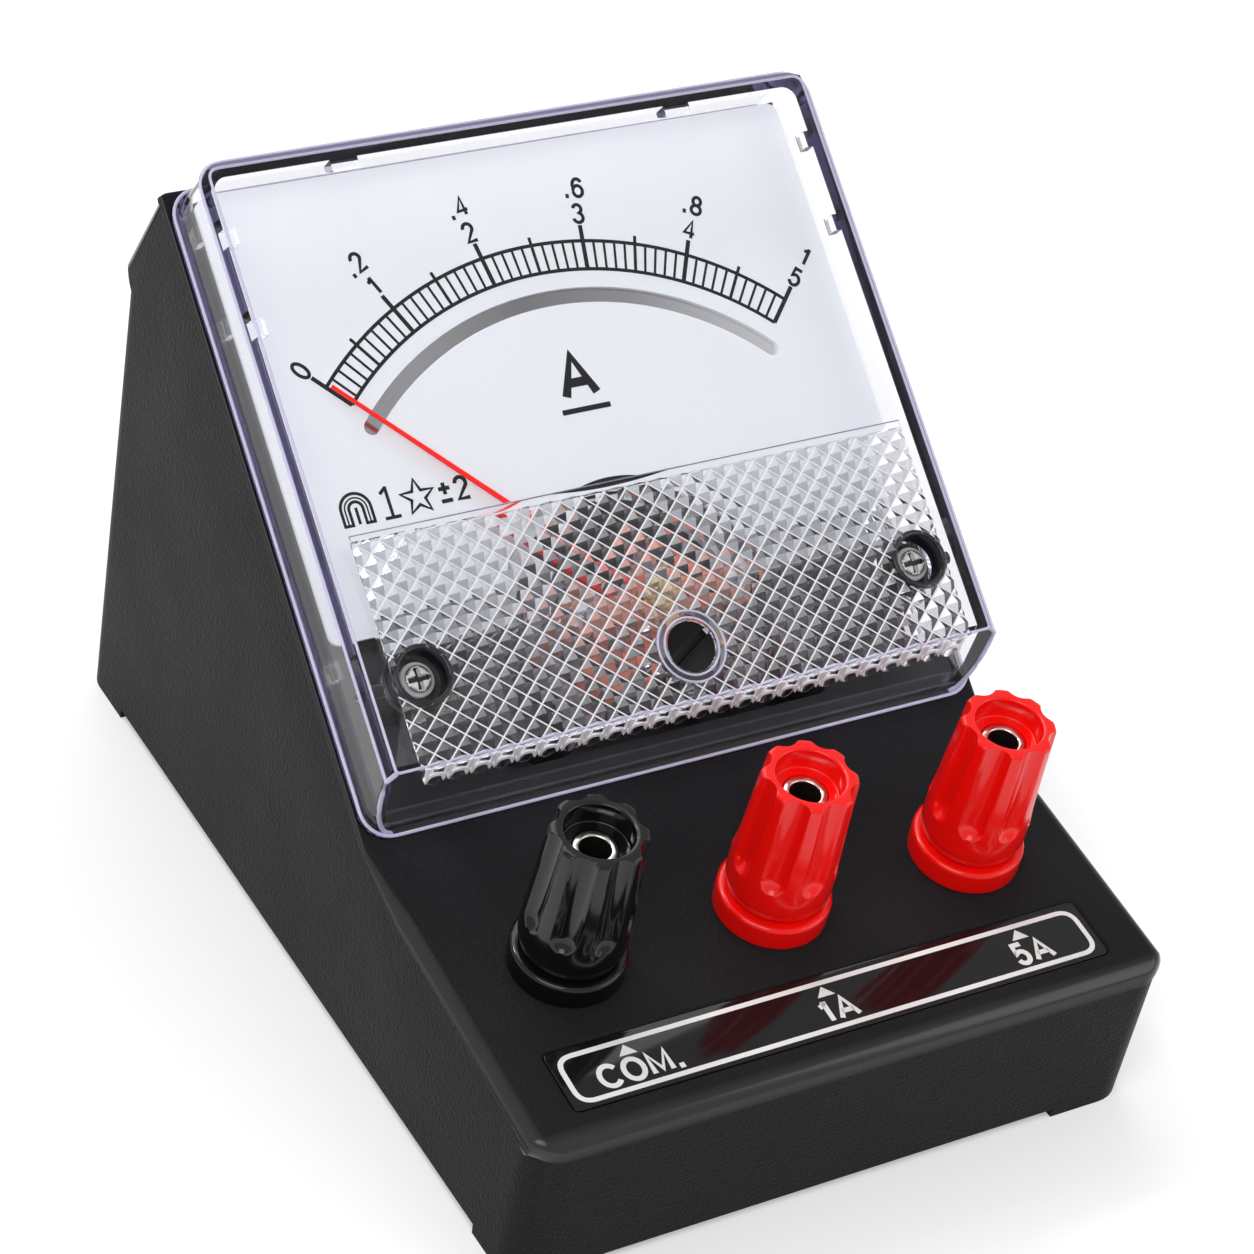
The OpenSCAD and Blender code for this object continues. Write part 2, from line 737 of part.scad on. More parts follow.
// Flat spiral of a hairspring, as a band swept along r = a + b * angle
spring_turns = 3;
spring_h = 0.3;
spring_r = 4.6;
collet_r = 1.5;
front_spring_n = pointer_n + pointer_t + 0.1;
rear_spring_n = rear_bridge_n + 0.75;
spring_steps = 20;
module hairspring(r0, r1, h) {
  n = spring_turns * spring_steps;
  function at(k, e) = (r0 + (r1 - r0) * k / n + e) * [cos(360 * k / spring_steps), sin(360 * k / spring_steps)];
  linear_extrude(h) polygon(concat([for (k = [0:n]) at(k, 0)], [for (k = [n:-1:0]) at(k, 0.18)]));
}
module front_hairspring() {
  color("#b9863c") on_pivot() translate([0, 0, front_spring_n])
    hairspring(collet_r + 0.2, spring_r, spring_h);
}
module rear_hairspring() {
  color("#b9863c") on_pivot() translate([0, 0, rear_spring_n])
    hairspring(collet_r + 0.2, spring_r, spring_h);
}

// Zero setting

lever_hub_r = 2.6;
lever_n = bridge_n + bridge_t + seat;
pin_r = 0.45;
fork_gap = 0.12;
fork_y = pivot_s - adjuster_s + eccentric;
adjuster_neck_r = 2.4;
adjuster_seat_n = cover_h - 0.6;

module zero_lever() {
  color("#c9b26a") on_pivot() translate([0, 0, lever_n]) linear_extrude(lever_t - 2 * seat) difference() {
    union() {
      circle(lever_hub_r);
      translate([0, -fork_y / 2]) square([2.2, fork_y], center = true);
      translate([0, -fork_y]) square([3.2, 2.6], center = true);
    }
    circle(jewel_r + run);
    translate([0, -fork_y - 1]) square([2 * (pin_r + fork_gap), 4], center = true);
  }
}

module zero_adjuster() {
  head_top = cover_h + prism_h - 0.2;
  color("#111113") on_panel() translate([0, adjuster_s, 0]) {
    difference() {
      union() {
        translate([0, 0, adjuster_seat_n + seat]) cylinder(h = head_top - adjuster_seat_n - seat, r = adjuster_r);
        translate([0, 0, cover_inner_n - 1]) cylinder(h = head_top - cover_inner_n + 0.5, r = adjuster_neck_r);
      }
      translate([0, 0, head_top]) rotate(30) cube([2 * far, 0.9, 1.6], center = true);
    }
    translate([0, -eccentric, lever_n - 0.3]) cylinder(h = cover_inner_n - lever_n, r = pin_r);
  }
}

// Moving coil, drawn at the zero mark

pointer_w = 0.8;
pointer_tip_w = 0.45;
tail_l = 11;
tail_w = 0.9;
module at_zero() {
  on_pivot() rotate(zero_angle) children();
}

module pointer() {
  color("#e2231a") at_zero() translate([0, 0, pointer_n]) linear_extrude(pointer_t) difference() {
    union() {
      polygon([[-pointer_w / 2, 0], [pointer_w / 2, 0], [pointer_tip_w / 2, scale_r - 0.4], [-pointer_tip_w / 2, scale_r - 0.4]]);
      circle(1.9);
      translate([0, -tail_l / 2]) square([tail_w, tail_l], center = true);
    }
    circle(staff_r + eps);
  }
}

// Rectangular loop around the core, in the plane of the staff
module coil_loop(grow, w) {
  r = core_r + coil_gap + grow;
  n0 = coil_n0 + coil_t - grow;
  n1 = coil_n1 - coil_t + grow;
  rotate([90, 0, 0]) linear_extrude(w, center = true) translate([0, (n0 + n1) / 2])
    round_rect(2 * r, n1 - n0, 1);
}
coil_w = 7;

module coil_former() {
  color("#c8ccd2") at_zero() difference() {
    coil_loop(former_t, coil_w);
    coil_loop(0, coil_w + 1);
    cylinder(h = far, r = staff_r + eps, center = true);
  }
}

module coil_winding() {
  color("#b4532a") at_zero() difference() {
    coil_loop(coil_t, coil_w - 1);
    coil_loop(former_t, coil_w + 1);
    cylinder(h = far, r = staff_r + eps, center = true);
  }
}

// Two half staffs, one at each end of the coil
module pivot_staff() {
  color("silver") at_zero() {
    front = bridge_n + 0.5;
    rear = rear_bridge_n - 0.5;
    translate([0, 0, coil_n1 - coil_t]) cylinder(h = front - coil_n1 + coil_t, r = staff_r);
    translate([0, 0, rear]) cylinder(h = coil_n0 + coil_t - rear, r = staff_r);
    tube(collet_r, staff_r, coil_n1 + seat, pointer_n);
    tube(collet_r, staff_r, pointer_n + pointer_t, front_spring_n + spring_h);
    tube(collet_r, staff_r, rear_spring_n, coil_n0 - seat);
  }
}

weight_l = 3;
weight_r = 1.1;
module balance_weights() {
  slot_w = tail_w + 2 * eps;
  color("#c0a860") at_zero() translate([0, 1 - tail_l, pointer_n + pointer_t / 2]) rotate([90, 0, 0])
    difference() {
      cylinder(h = weight_l, r = weight_r, center = true);
      cube([slot_w, pointer_t + 2 * eps, weight_l + 1], center = true);
    }
}

// Terminals

hole_r = 1.1;
thread_pitch = 1;

module terminal_studs() {
  color("#d6d8dc") for (x = post_x) on_post(x) difference() {
    translate([0, 0, stud_foot]) cylinder(h = stud_top - stud_foot, r = stud_r);
    translate([0, 0, stud_top - socket_l]) cylinder(h = socket_l + 1, r = socket_r);
    translate([0, 0, collar_h + washer_t + 1.4]) rotate([90, 0, 0]) cylinder(h = 4 * stud_r, r = hole_r, center = true);
  }
}
stud_foot = -wall - insulator_t - 2 * nut_t - 3 * tag_t - 1.2;

module collar() {
  difference() {
    rotate_extrude() difference() {
      union() {
        translate([0, 0]) square([collar_r, collar_h - 0.6]);
        square([collar_r - 0.6, collar_h]);
        translate([collar_r - 0.6, collar_h - 0.6]) circle(0.6, $fn = 24);
        translate([0, -wall]) square([spigot_r, wall]);
      }
      translate([-far, -far / 2]) square([far, far]);
    }
    translate([0, 0, -far / 2]) cylinder(h = far, r = stud_r + run);
  }
}

module collar_common() {
  color("#141416") on_post(post_x[0]) collar();
}
module collars_red() {
  color("#d8130f") for (k = [1, 2]) on_post(post_x[k]) collar();
}

module washer() {
  tube(washer_r, stud_r + 0.2, collar_h + seat, collar_h + washer_t);
}
module washer_common() {
  color("silver") on_post(post_x[0]) washer();
}
module washer_low() {
  color("silver") on_post(post_x[1]) washer();
}
module washer_high() {
  color("silver") on_post(post_x[2]) washer();
}

// Fluted cap: a tapered turning with scooped flutes, a top recess and a threaded bore
cap_recess_r = 4.5;
cap_edge = 0.6;
flute_r = 2.1;
flute_in = 0.85;
flute_foot = 6.2;
module cap() {
  taper = atan((cap_r - cap_top_r) / (post_h - cap_foot));
  difference() {
    rotate_extrude() polygon([
      [0, cap_foot], [cap_r - cap_edge, cap_foot], [cap_r, cap_foot + cap_edge],
      [cap_top_r, post_h - cap_edge], [cap_top_r - cap_edge / 2, post_h], [0, post_h]
    ]);
    for (k = [0:flutes - 1]) rotate(360 * (k + 0.5) / flutes)
      translate([cap_r + flute_r - flute_in, 0, cap_foot]) rotate([0, -taper, 0]) {
        translate([0, 0, flute_foot]) cylinder(h = post_h, r = flute_r);
        translate([0, 0, flute_foot]) sphere(flute_r);
      }
    translate([0, 0, post_h - cap_recess]) cylinder(h = cap_recess + 1, r = cap_recess_r);
    cylinder(h = far, r = stud_r + run);
    translate([0, 0, collar_h - 1]) cylinder(h = washer_t + seat + 1, r = washer_r + 0.3);
  }
}

module cap_common() {
  color("#141416") on_post(post_x[0]) cap();
}
module cap_low() {
  color("#e01812") on_post(post_x[1]) cap();
}
module cap_high() {
  color("#e01812") on_post(post_x[2]) cap();
}

module terminal_insulators() {
  color("#1a1a1c") for (x = post_x) on_post(x)
    tube(collar_r - 0.5, stud_r + run, -wall - insulator_t, -wall);
}

module hex_nut(n1) {
  translate([0, 0, n1 - nut_t]) difference() {
    cylinder(h = nut_t, r = nut_af / sqrt(3), $fn = 6);
    translate([0, 0, -1]) cylinder(h = nut_t + 2, r = stud_r + run);
  }
}
nut_n = -wall - insulator_t;
tag_n = nut_n - nut_t;
lower_nut_n = tag_n - 3 * tag_t;
module terminal_nuts() {
  color("silver") for (x = post_x) on_post(x) {
    hex_nut(nut_n);
    hex_nut(lower_nut_n);
  }
}

// Eyelet on a stud with a tail towards the rear, at the given level below the deck
tag_r = 4.4;
tag_tail = 11;
module eyelet() {
  difference() {
    circle(tag_r);
    circle(stud_r + run);
  }
}
module solder_tags() {
  color("#cdb36c") for (k = [0, 1]) on_post(post_x[k]) translate([0, 0, tag_n - tag_t]) linear_extrude(tag_t) {
    eyelet();
    difference() {
      translate([-1.5, 0]) square([3, tag_tail]);
      circle(stud_r + run);
      translate([0, tag_tail - 1.6]) circle(wire_r + fit);
    }
  }
}

// Shunts: resistance strips from stud to stud, bowed so that they pass the middle stud
module shunt_strip(x0, x1, bow, level) {
  on_post(0) translate([0, 0, tag_n - level * tag_t]) linear_extrude(tag_t) {
    for (x = [x0, x1]) translate([x, 0]) {
      eyelet();
      difference() {
        translate([-shunt_w / 2, -bow]) square([shunt_w, bow]);
        circle(stud_r + run);
      }
    }
    translate([x0 - shunt_w / 2, -bow - shunt_w / 2]) square([x1 - x0 + shunt_w, shunt_w]);
  }
}
module shunt_low() {
  color("#b98f5a") shunt_strip(post_x[1], post_x[2], shunt_bow, 2);
}
module shunt_high() {
  color("#b98f5a") shunt_strip(post_x[0], post_x[2], shunt_bow, 3);
}
shunt_w = 4;
shunt_bow = 8;

// Lead wires: straight runs joined by round bends
wire_r = 0.7;
bend_r = 0.85;
lead_x = [-6, 6];
lead_dy = 16;
lead_n = -tray_well_depth - tray_wall - 6;
module wire_run(pts) {
  for (k = [0:len(pts) - 2]) {
    d = pts[k + 1] - pts[k];
    translate(pts[k]) rotate([0, acos(d[2] / norm(d)), atan2(d[1], d[0])]) cylinder(h = norm(d), r = wire_r);
    if (k > 0) translate(pts[k]) sphere(bend_r);
  }
}
function deck_point(x, s, n) = [
  x, front_y + s * cos(deck_slope) - n * sin(deck_slope), deck_front_h + s * sin(deck_slope) + n * cos(deck_slope)
];
function panel_point(x, s, n) = [
  x, panel_foot[0] + s * cos(panel_slope) - n * sin(panel_slope),
  panel_foot[1] + s * sin(panel_slope) + n * cos(panel_slope)
];
module lead_wires() {
  color("#1c3f8c") for (k = [0, 1]) {
    hole = post_s + tag_tail - 1.6;
    wire_run([
      deck_point(post_x[k], hole, tag_n), deck_point(post_x[k], hole, tag_n - 8),
      panel_point(lead_x[k], tray_well_s[0], lead_n), panel_point(lead_x[k], pivot_s + lead_dy, lead_n),
      panel_point(lead_x[k], pivot_s + lead_dy, -tray_well_depth + 1)
    ]);
  }
}

housing();
bottom_cover();
bottom_screws();
label_plate();
meter_base();
meter_cover();
cover_screws();
dial_plate();
mirror_strip();
magnet();
pole_shoes();
iron_core();
core_bracket();
front_bridge();
rear_bridge();
bridge_screws();
jewel_screws();
front_hairspring();
rear_hairspring();
zero_lever();
zero_adjuster();
pointer();
coil_former();
coil_winding();
pivot_staff();
balance_weights();
terminal_studs();
collar_common();
collars_red();
terminal_insulators();
terminal_nuts();
solder_tags();
washer_common();
washer_low();
washer_high();
cap_common();
cap_low();
cap_high();
shunt_low();
shunt_high();
lead_wires();
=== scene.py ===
"""Bench ammeter: rounded pieces, finishes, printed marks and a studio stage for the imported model."""
import json
import math

import bmesh
import bpy
import numpy as np
from mathutils import Matrix
from mathutils.geometry import tessellate_polygon


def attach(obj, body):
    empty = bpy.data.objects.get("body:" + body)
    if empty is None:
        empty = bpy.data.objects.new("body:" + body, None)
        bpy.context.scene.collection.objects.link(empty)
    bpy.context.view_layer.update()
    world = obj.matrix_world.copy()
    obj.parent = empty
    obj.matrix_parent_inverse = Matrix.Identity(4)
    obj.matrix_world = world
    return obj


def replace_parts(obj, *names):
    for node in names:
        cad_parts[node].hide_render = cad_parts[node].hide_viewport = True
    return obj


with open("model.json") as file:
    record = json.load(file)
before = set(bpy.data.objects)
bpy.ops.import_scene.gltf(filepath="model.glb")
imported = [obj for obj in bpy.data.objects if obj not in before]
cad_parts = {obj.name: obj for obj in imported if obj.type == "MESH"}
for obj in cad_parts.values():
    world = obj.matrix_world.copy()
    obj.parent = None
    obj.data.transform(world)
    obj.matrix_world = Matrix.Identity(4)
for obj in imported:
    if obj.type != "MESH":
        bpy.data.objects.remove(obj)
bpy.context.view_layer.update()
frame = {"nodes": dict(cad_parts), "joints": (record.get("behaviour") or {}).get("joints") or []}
NODES = frame["nodes"]
JOINTS = {joint["name"]: joint for joint in frame["joints"]}
MM = 0.001

bl_info = {
    "name": "Bench ammeter",
    "version": (1, 0, 0),
    "blender": (4, 5, 0),
    "location": "View3D > Sidebar > Ammeter",
    "description": "Dresses the packed bench ammeter with its finishes, printed marks and stage",
    "category": "Object",
}


# Places

def face_frame(joint, sign):
    """Origin and rows (right, up the face, out of the face) of the plane that is square to a joint's axis."""
    out = sign * np.array(joint["axis"], float)
    out /= np.linalg.norm(out)
    right = np.array([1.0, 0.0, 0.0])
    return np.array(joint["pos_m"], float), np.array([right, np.cross(out, right), out])


DIAL = face_frame(JOINTS["pointer_swing"], -1)
POSTS = {name: face_frame(JOINTS["unscrew_" + name], 1) for name in ("common", "low", "high")}


def placed(points, face):
    """Metres of points in millimetres across, up and out of a face: its origin plus the weighted rows."""
    origin, rows = face
    return origin + MM * np.asarray(points, float) @ rows


def measured(points, face):
    """Millimetres across, up and out of a face of points in metres: the offsets' shares along its rows."""
    origin, rows = face
    return (np.asarray(points, float) - origin) @ rows.T / MM


BOSS = measured(JOINTS["zero_set"]["pos_m"], DIAL)


# Meshes

def new_piece(name, verts, faces, material, body="case", slot=None, smooth=False):
    """A mesh object at the origin from vertex and face arrays, riding on a body, with its finish; the slot
    argument is not used.
    """
    mesh = bpy.data.meshes.new(name)
    mesh.from_pydata(np.asarray(verts, float).tolist(), [], [list(map(int, f)) for f in faces])
    mesh.update()
    if smooth:
        mesh.shade_smooth()
        mesh.set_sharp_from_angle(angle=math.radians(40))
    piece = bpy.data.objects.new(name, mesh)
    bpy.context.scene.collection.objects.link(piece)
    mesh.materials.append(material)
    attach(piece, body)
    return piece


def joined(parts):
    """One vertex array and one face list from several, the indices of each moved past those before it."""
    verts, faces, start = [], [], 0
    for v, f in parts:
        verts.append(v)
        faces.extend([[i + start for i in face] for face in f])
        start += len(v)
    return np.concatenate(verts), faces


def grid_faces(rows, columns, wrap_rows=False, wrap_columns=False):
    """Quads of a rows by columns grid of vertices, as one index array; a wrapped side meets its own start."""
    i = np.arange(rows if wrap_rows else rows - 1)[:, None]
    j = np.arange(columns if wrap_columns else columns - 1)[None, :]
    i2, j2 = (i + 1) % rows, (j + 1) % columns
    quads = np.stack([i * columns + j, i * columns + j2, i2 * columns + j2, i2 * columns + j], -1)
    return quads.reshape(-1, 4)


# Least cosine at which the sides of a bar's corner still meet in a point
MITRE = 0.72


def bar(path, width, low, high, closed=False):
    """A flat bar: each point of a path gives four corners, half the width to either side at two heights."""
    path = np.asarray(path, float)
    if closed:
        ahead, behind = np.roll(path, -1, 0), np.roll(path, 1, 0)
    else:
        ahead = np.concatenate([path[1:], path[-1:]])
        behind = np.concatenate([path[:1], path[:-1]])
    first, second = path - behind, ahead - path
    size = lambda v: np.maximum(np.linalg.norm(v, axis=1, keepdims=True), 1e-12)
    first, second = first / size(first), second / size(second)
    along = first + second
    along /= size(along)
    leg = np.where(size(second) > 1e-9, second, first)
    reach = 1 / np.maximum(np.sum(along * leg, 1, keepdims=True), MITRE)
    if not closed:
        reach[0] = reach[-1] = 1
    side = np.stack([-along[:, 1], along[:, 0]], 1) * reach * width / 2
    n = len(path)
    z = lambda h: np.full((n, 1), h)
    ring = np.stack([
        np.hstack([path + side, z(low)]), np.hstack([path - side, z(low)]),
        np.hstack([path - side, z(high)]), np.hstack([path + side, z(high)]),
    ], 1)
    faces = [list(f[::-1]) for f in grid_faces(n, 4, closed, True)]
    if not closed:
        faces += [[0, 1, 2, 3], [4 * n - 1, 4 * n - 2, 4 * n - 3, 4 * n - 4]]
    return ring.reshape(-1, 3), faces


def arc(radius, start, end, steps, centre=(0, 0)):
    """Points on a circle about a centre, angles in degrees from straight up, clockwise."""
    a = np.radians(np.linspace(start, end, steps))
    return np.stack([centre[0] + radius * np.sin(a), centre[1] + radius * np.cos(a)], 1)


def oval(x, y, across, up, start=0, end=360):
    """Points of an ellipse, angles in degrees clockwise from straight up; a full turn leaves out its end."""
    full = end - start == 360
    a = np.radians(np.linspace(start, end, 33)[:32 if full else 33])
    return np.stack([x + across * np.sin(a), y + up * np.cos(a)], 1)


def pen_line(*stretches):
    """An open centre line from stretches of points set end to end."""
    return np.concatenate([np.asarray(stretch, float) for stretch in stretches]), False


def pen_ring(x, y, across, up):
    """A closed centre line along an ellipse."""
    return oval(x, y, across, up), True


# Centre lines of each sign in a box of height 1, and the box's width; the plus stands over a minus
LETTERS = {
    "0": ([pen_ring(0.27, 0.5, 0.27, 0.5)], 0.54),
    "1": ([pen_line([[0.30, 0], [0.30, 1.0]]), pen_line([[0.04, 0.76], [0.19, 0.80], [0.30, 0.97]])], 0.40),
    "2": ([pen_line(oval(0.27, 0.72, 0.26, 0.28, -85, 115), [[0.01, 0], [0.56, 0]])], 0.56),
    "3": ([pen_line(oval(0.26, 0.76, 0.23, 0.24, -80, 165), oval(0.26, 0.27, 0.27, 0.27, 20, 260))], 0.53),
    "4": ([pen_line([[0.41, 0], [0.41, 1.0], [0.0, 0.27], [0.58, 0.27]])], 0.58),
    "5": ([pen_line([[0.50, 1.0], [0.10, 1.0], [0.05, 0.52]], oval(0.27, 0.32, 0.27, 0.32, -45, 250))], 0.54),
    "6": ([pen_line(oval(0.29, 0.62, 0.27, 0.38, 60, -90), oval(0.28, 0.31, 0.27, 0.31, -90, 265))], 0.56),
    "8": ([pen_ring(0.27, 0.76, 0.22, 0.24), pen_ring(0.27, 0.26, 0.27, 0.26)], 0.54),
    "A": ([pen_line([[0.0, 0], [0.41, 1.0], [0.82, 0]]), pen_line([[0.14, 0.32], [0.68, 0.32]])], 0.82),
    "C": ([pen_line(oval(0.42, 0.5, 0.42, 0.5, 52, -232))], 0.76),
    "O": ([pen_ring(0.42, 0.5, 0.42, 0.5)], 0.84),
    "M": ([pen_line([[0, 0], [0, 1.0], [0.40, 0.12], [0.80, 1.0], [0.80, 0]])], 0.80),
    "+": ([pen_line([[0, 0.62], [0.56, 0.62]]), pen_line([[0.28, 0.34], [0.28, 0.90]]),
           pen_line([[0, 0.04], [0.56, 0.04]])], 0.56),
    ".": ([pen_line([[0.08, -0.09], [0.08, 0.15]])], 0.16),
}


def lettering(word, height, stroke, gap=0.30):
    """A word's centre lines in millimetres, centred on its baseline: the signs' boxes set side by side."""
    lines, along = [], 0.0
    for sign in word:
        paths, width = LETTERS[sign]
        lines += [(path + [along, 0], closed) for path, closed in paths]
        along += width + gap
    scale = height - stroke
    return [((path - [(along - gap) / 2, 0]) * scale + [0, stroke / 2], closed) for path, closed in lines]


def raised(outline, low, high):
    """A thin solid from one plane outline: the outline at two heights with walls between."""
    n = len(outline)
    verts = np.concatenate([np.column_stack([outline, np.full(n, height)]) for height in (low, high)])
    walls = [[k, (k + 1) % n, (k + 1) % n + n, k + n] for k in range(n)]
    return verts, [list(range(n))[::-1], list(range(n, 2 * n))] + walls


def turned(points, angle, shift=(0, 0)):
    """Plane points turned clockwise by degrees and then moved."""
    a = math.radians(angle)
    xy = np.asarray(points, float)
    return np.column_stack([
        xy[:, 0] * math.cos(a) + xy[:, 1] * math.sin(a) + shift[0],
        -xy[:, 0] * math.sin(a) + xy[:, 1] * math.cos(a) + shift[1],
    ])


def working_copy(node, flat=True):
    """A node's triangles as a working mesh: doubles merged and, if asked, coplanar faces joined."""
    work = bmesh.new()
    work.from_mesh(NODES[node].data)
    bmesh.ops.remove_doubles(work, verts=work.verts, dist=2e-6)
    if flat:
        bmesh.ops.dissolve_limit(work, angle_limit=math.radians(0.5), verts=work.verts, edges=work.edges)
    return work


def rounded_copy(work, node, body, width, sharp):
    """A piece in a node's place from a working mesh, its sharp edges rounded where a width is given."""
    layers = work.edges.layers.float
    layer = layers.get("bevel_weight_edge") or layers.new("bevel_weight_edge")
    for face in work.faces:
        face.smooth = True
    for edge in work.edges:
        angle = edge.calc_face_angle(0.0)
        edge[layer] = float(width > 0 and angle > math.radians(sharp))
        edge.smooth = angle < math.radians(sharp) or edge[layer] > 0
    mesh = bpy.data.meshes.new(node + "_skin")
    work.to_mesh(mesh)
    work.free()
    mesh.materials.clear()
    piece = bpy.data.objects.new(node + "_skin", mesh)
    bpy.context.scene.collection.objects.link(piece)
    if width:
        soften = piece.modifiers.new("rounded_edges", "BEVEL")
        soften.width = width * MM
        soften.segments = 3
        soften.limit_method = "WEIGHT"
        soften.use_clamp_overlap = False
        soften.harden_normals = True
    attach(piece, body)
    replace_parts(piece, node)
    return piece


def softened(node, material, bevel, body="case"):
    """A copy of a node with its sharp edges rounded by a bevel."""
    piece = rounded_copy(working_copy(node), node, body, bevel, 30)
    piece.data.materials.append(material)
    return piece


def face_places(mesh):
    """Centres and normals of a mesh's faces, as two arrays of rows."""
    centre, normal = np.empty(3 * len(mesh.polygons)), np.empty(3 * len(mesh.polygons))
    mesh.polygons.foreach_get("center", centre)
    mesh.polygons.foreach_get("normal", normal)
    return centre.reshape(-1, 3), normal.reshape(-1, 3)


def case_outline(size):
    """The case's side outline from the front foot over the top to the rear foot.

    Each row holds a place, a slant and an edge radius. A corner of radius R gives an arc that touches both
    legs; a crease gives one point, its slant scaled so that lines set in from both legs meet there. The
    second result holds the row at which each straight leg starts.
    """
    front = -size.case_depth / 2
    rise = lambda run, slope: run * math.tan(slope)
    crease = np.array([front + size.deck_depth, size.deck_height + rise(size.deck_depth, size.deck_slope)])
    foot = crease + [size.sill_depth, rise(size.sill_depth, size.sill_slope)]
    head = foot + size.panel_length * np.array([math.cos(size.panel_slope), math.sin(size.panel_slope)])
    corners = np.array([[front + size.front_in, 0], [front, size.deck_height], crease, foot, head,
                        [-front - size.shoulder_in, size.shoulder_height], [-front, 0]])
    bends = [0, size.front_bend, 0, 0, size.head_bend, size.shoulder_bend, 0]
    wide, edge, rim = size.case_corner, size.case_edge, size.panel_rim
    edges = [(wide, wide), (wide, edge), (edge, edge), (rim, rim), (rim, edge), (edge, wide), (wide, wide)]
    legs = np.diff(corners, axis=0)
    legs /= np.linalg.norm(legs, axis=1, keepdims=True)
    slants = np.column_stack([-legs[:, 1], legs[:, 0]])
    level = lambda slant: np.array([1 / slant[0], 0])
    rows, flats = [[*corners[0], *level(slants[0]), wide]], []
    for k in range(1, 6):
        flats.append(len(rows) - 1)
        before, after, bend = slants[k - 1], slants[k], bends[k]
        if not bend:
            rows.append([*corners[k], *((before + after) / (1 + before @ after)), edges[k][0]])
            continue
        middle = corners[k] - bend * (before + after) / (1 + before @ after)
        t = np.linspace(0, 1, 15)[:, None]
        turn = math.acos(np.clip(before @ after, -1, 1))
        slant = (np.sin((1 - t) * turn) * before + np.sin(t * turn) * after) / math.sin(turn)
        width = edges[k][0] + (edges[k][1] - edges[k][0]) * t
        rows += np.hstack([middle + bend * slant, slant, width]).tolist()
    flats.append(len(rows) - 1)
    rows.append([*corners[6], *level(slants[5]), wide])
    return np.array(rows), flats


def filled(loops):
    """Triangles of a flat face between an outer loop and the holes in it: a vertex array and a face list."""
    points = np.concatenate([np.asarray(loop, float) for loop in loops])
    return points, [list(t) for t in tessellate_polygon([[tuple(p) for p in loop] for loop in loops])]


def round_loop(across, along, radius, steps=8):
    """Half sizes and a corner radius give a closed rounded rectangle, counter-clockwise."""
    a = np.linspace(0, np.pi / 2, steps)
    corner = np.stack([np.cos(a), np.sin(a)], 1) * radius
    out = []
    for k, (sx, sy) in enumerate(((1, 1), (-1, 1), (-1, -1), (1, -1))):
        c, s = round(math.cos(k * math.pi / 2)), round(math.sin(k * math.pi / 2))
        out.append(corner @ [[c, s], [-s, c]] + [sx * (across - radius), sy * (along - radius)])
    return np.concatenate(out)


def sunk(loop_at, steps):
    """The wall of a recess: a loop at each (growth, depth) step, joined in rows."""
    rings = [loop_at(grow, depth) for grow, depth in steps]
    return np.concatenate(rings), grid_faces(len(rings), len(rings[0]), False, True)


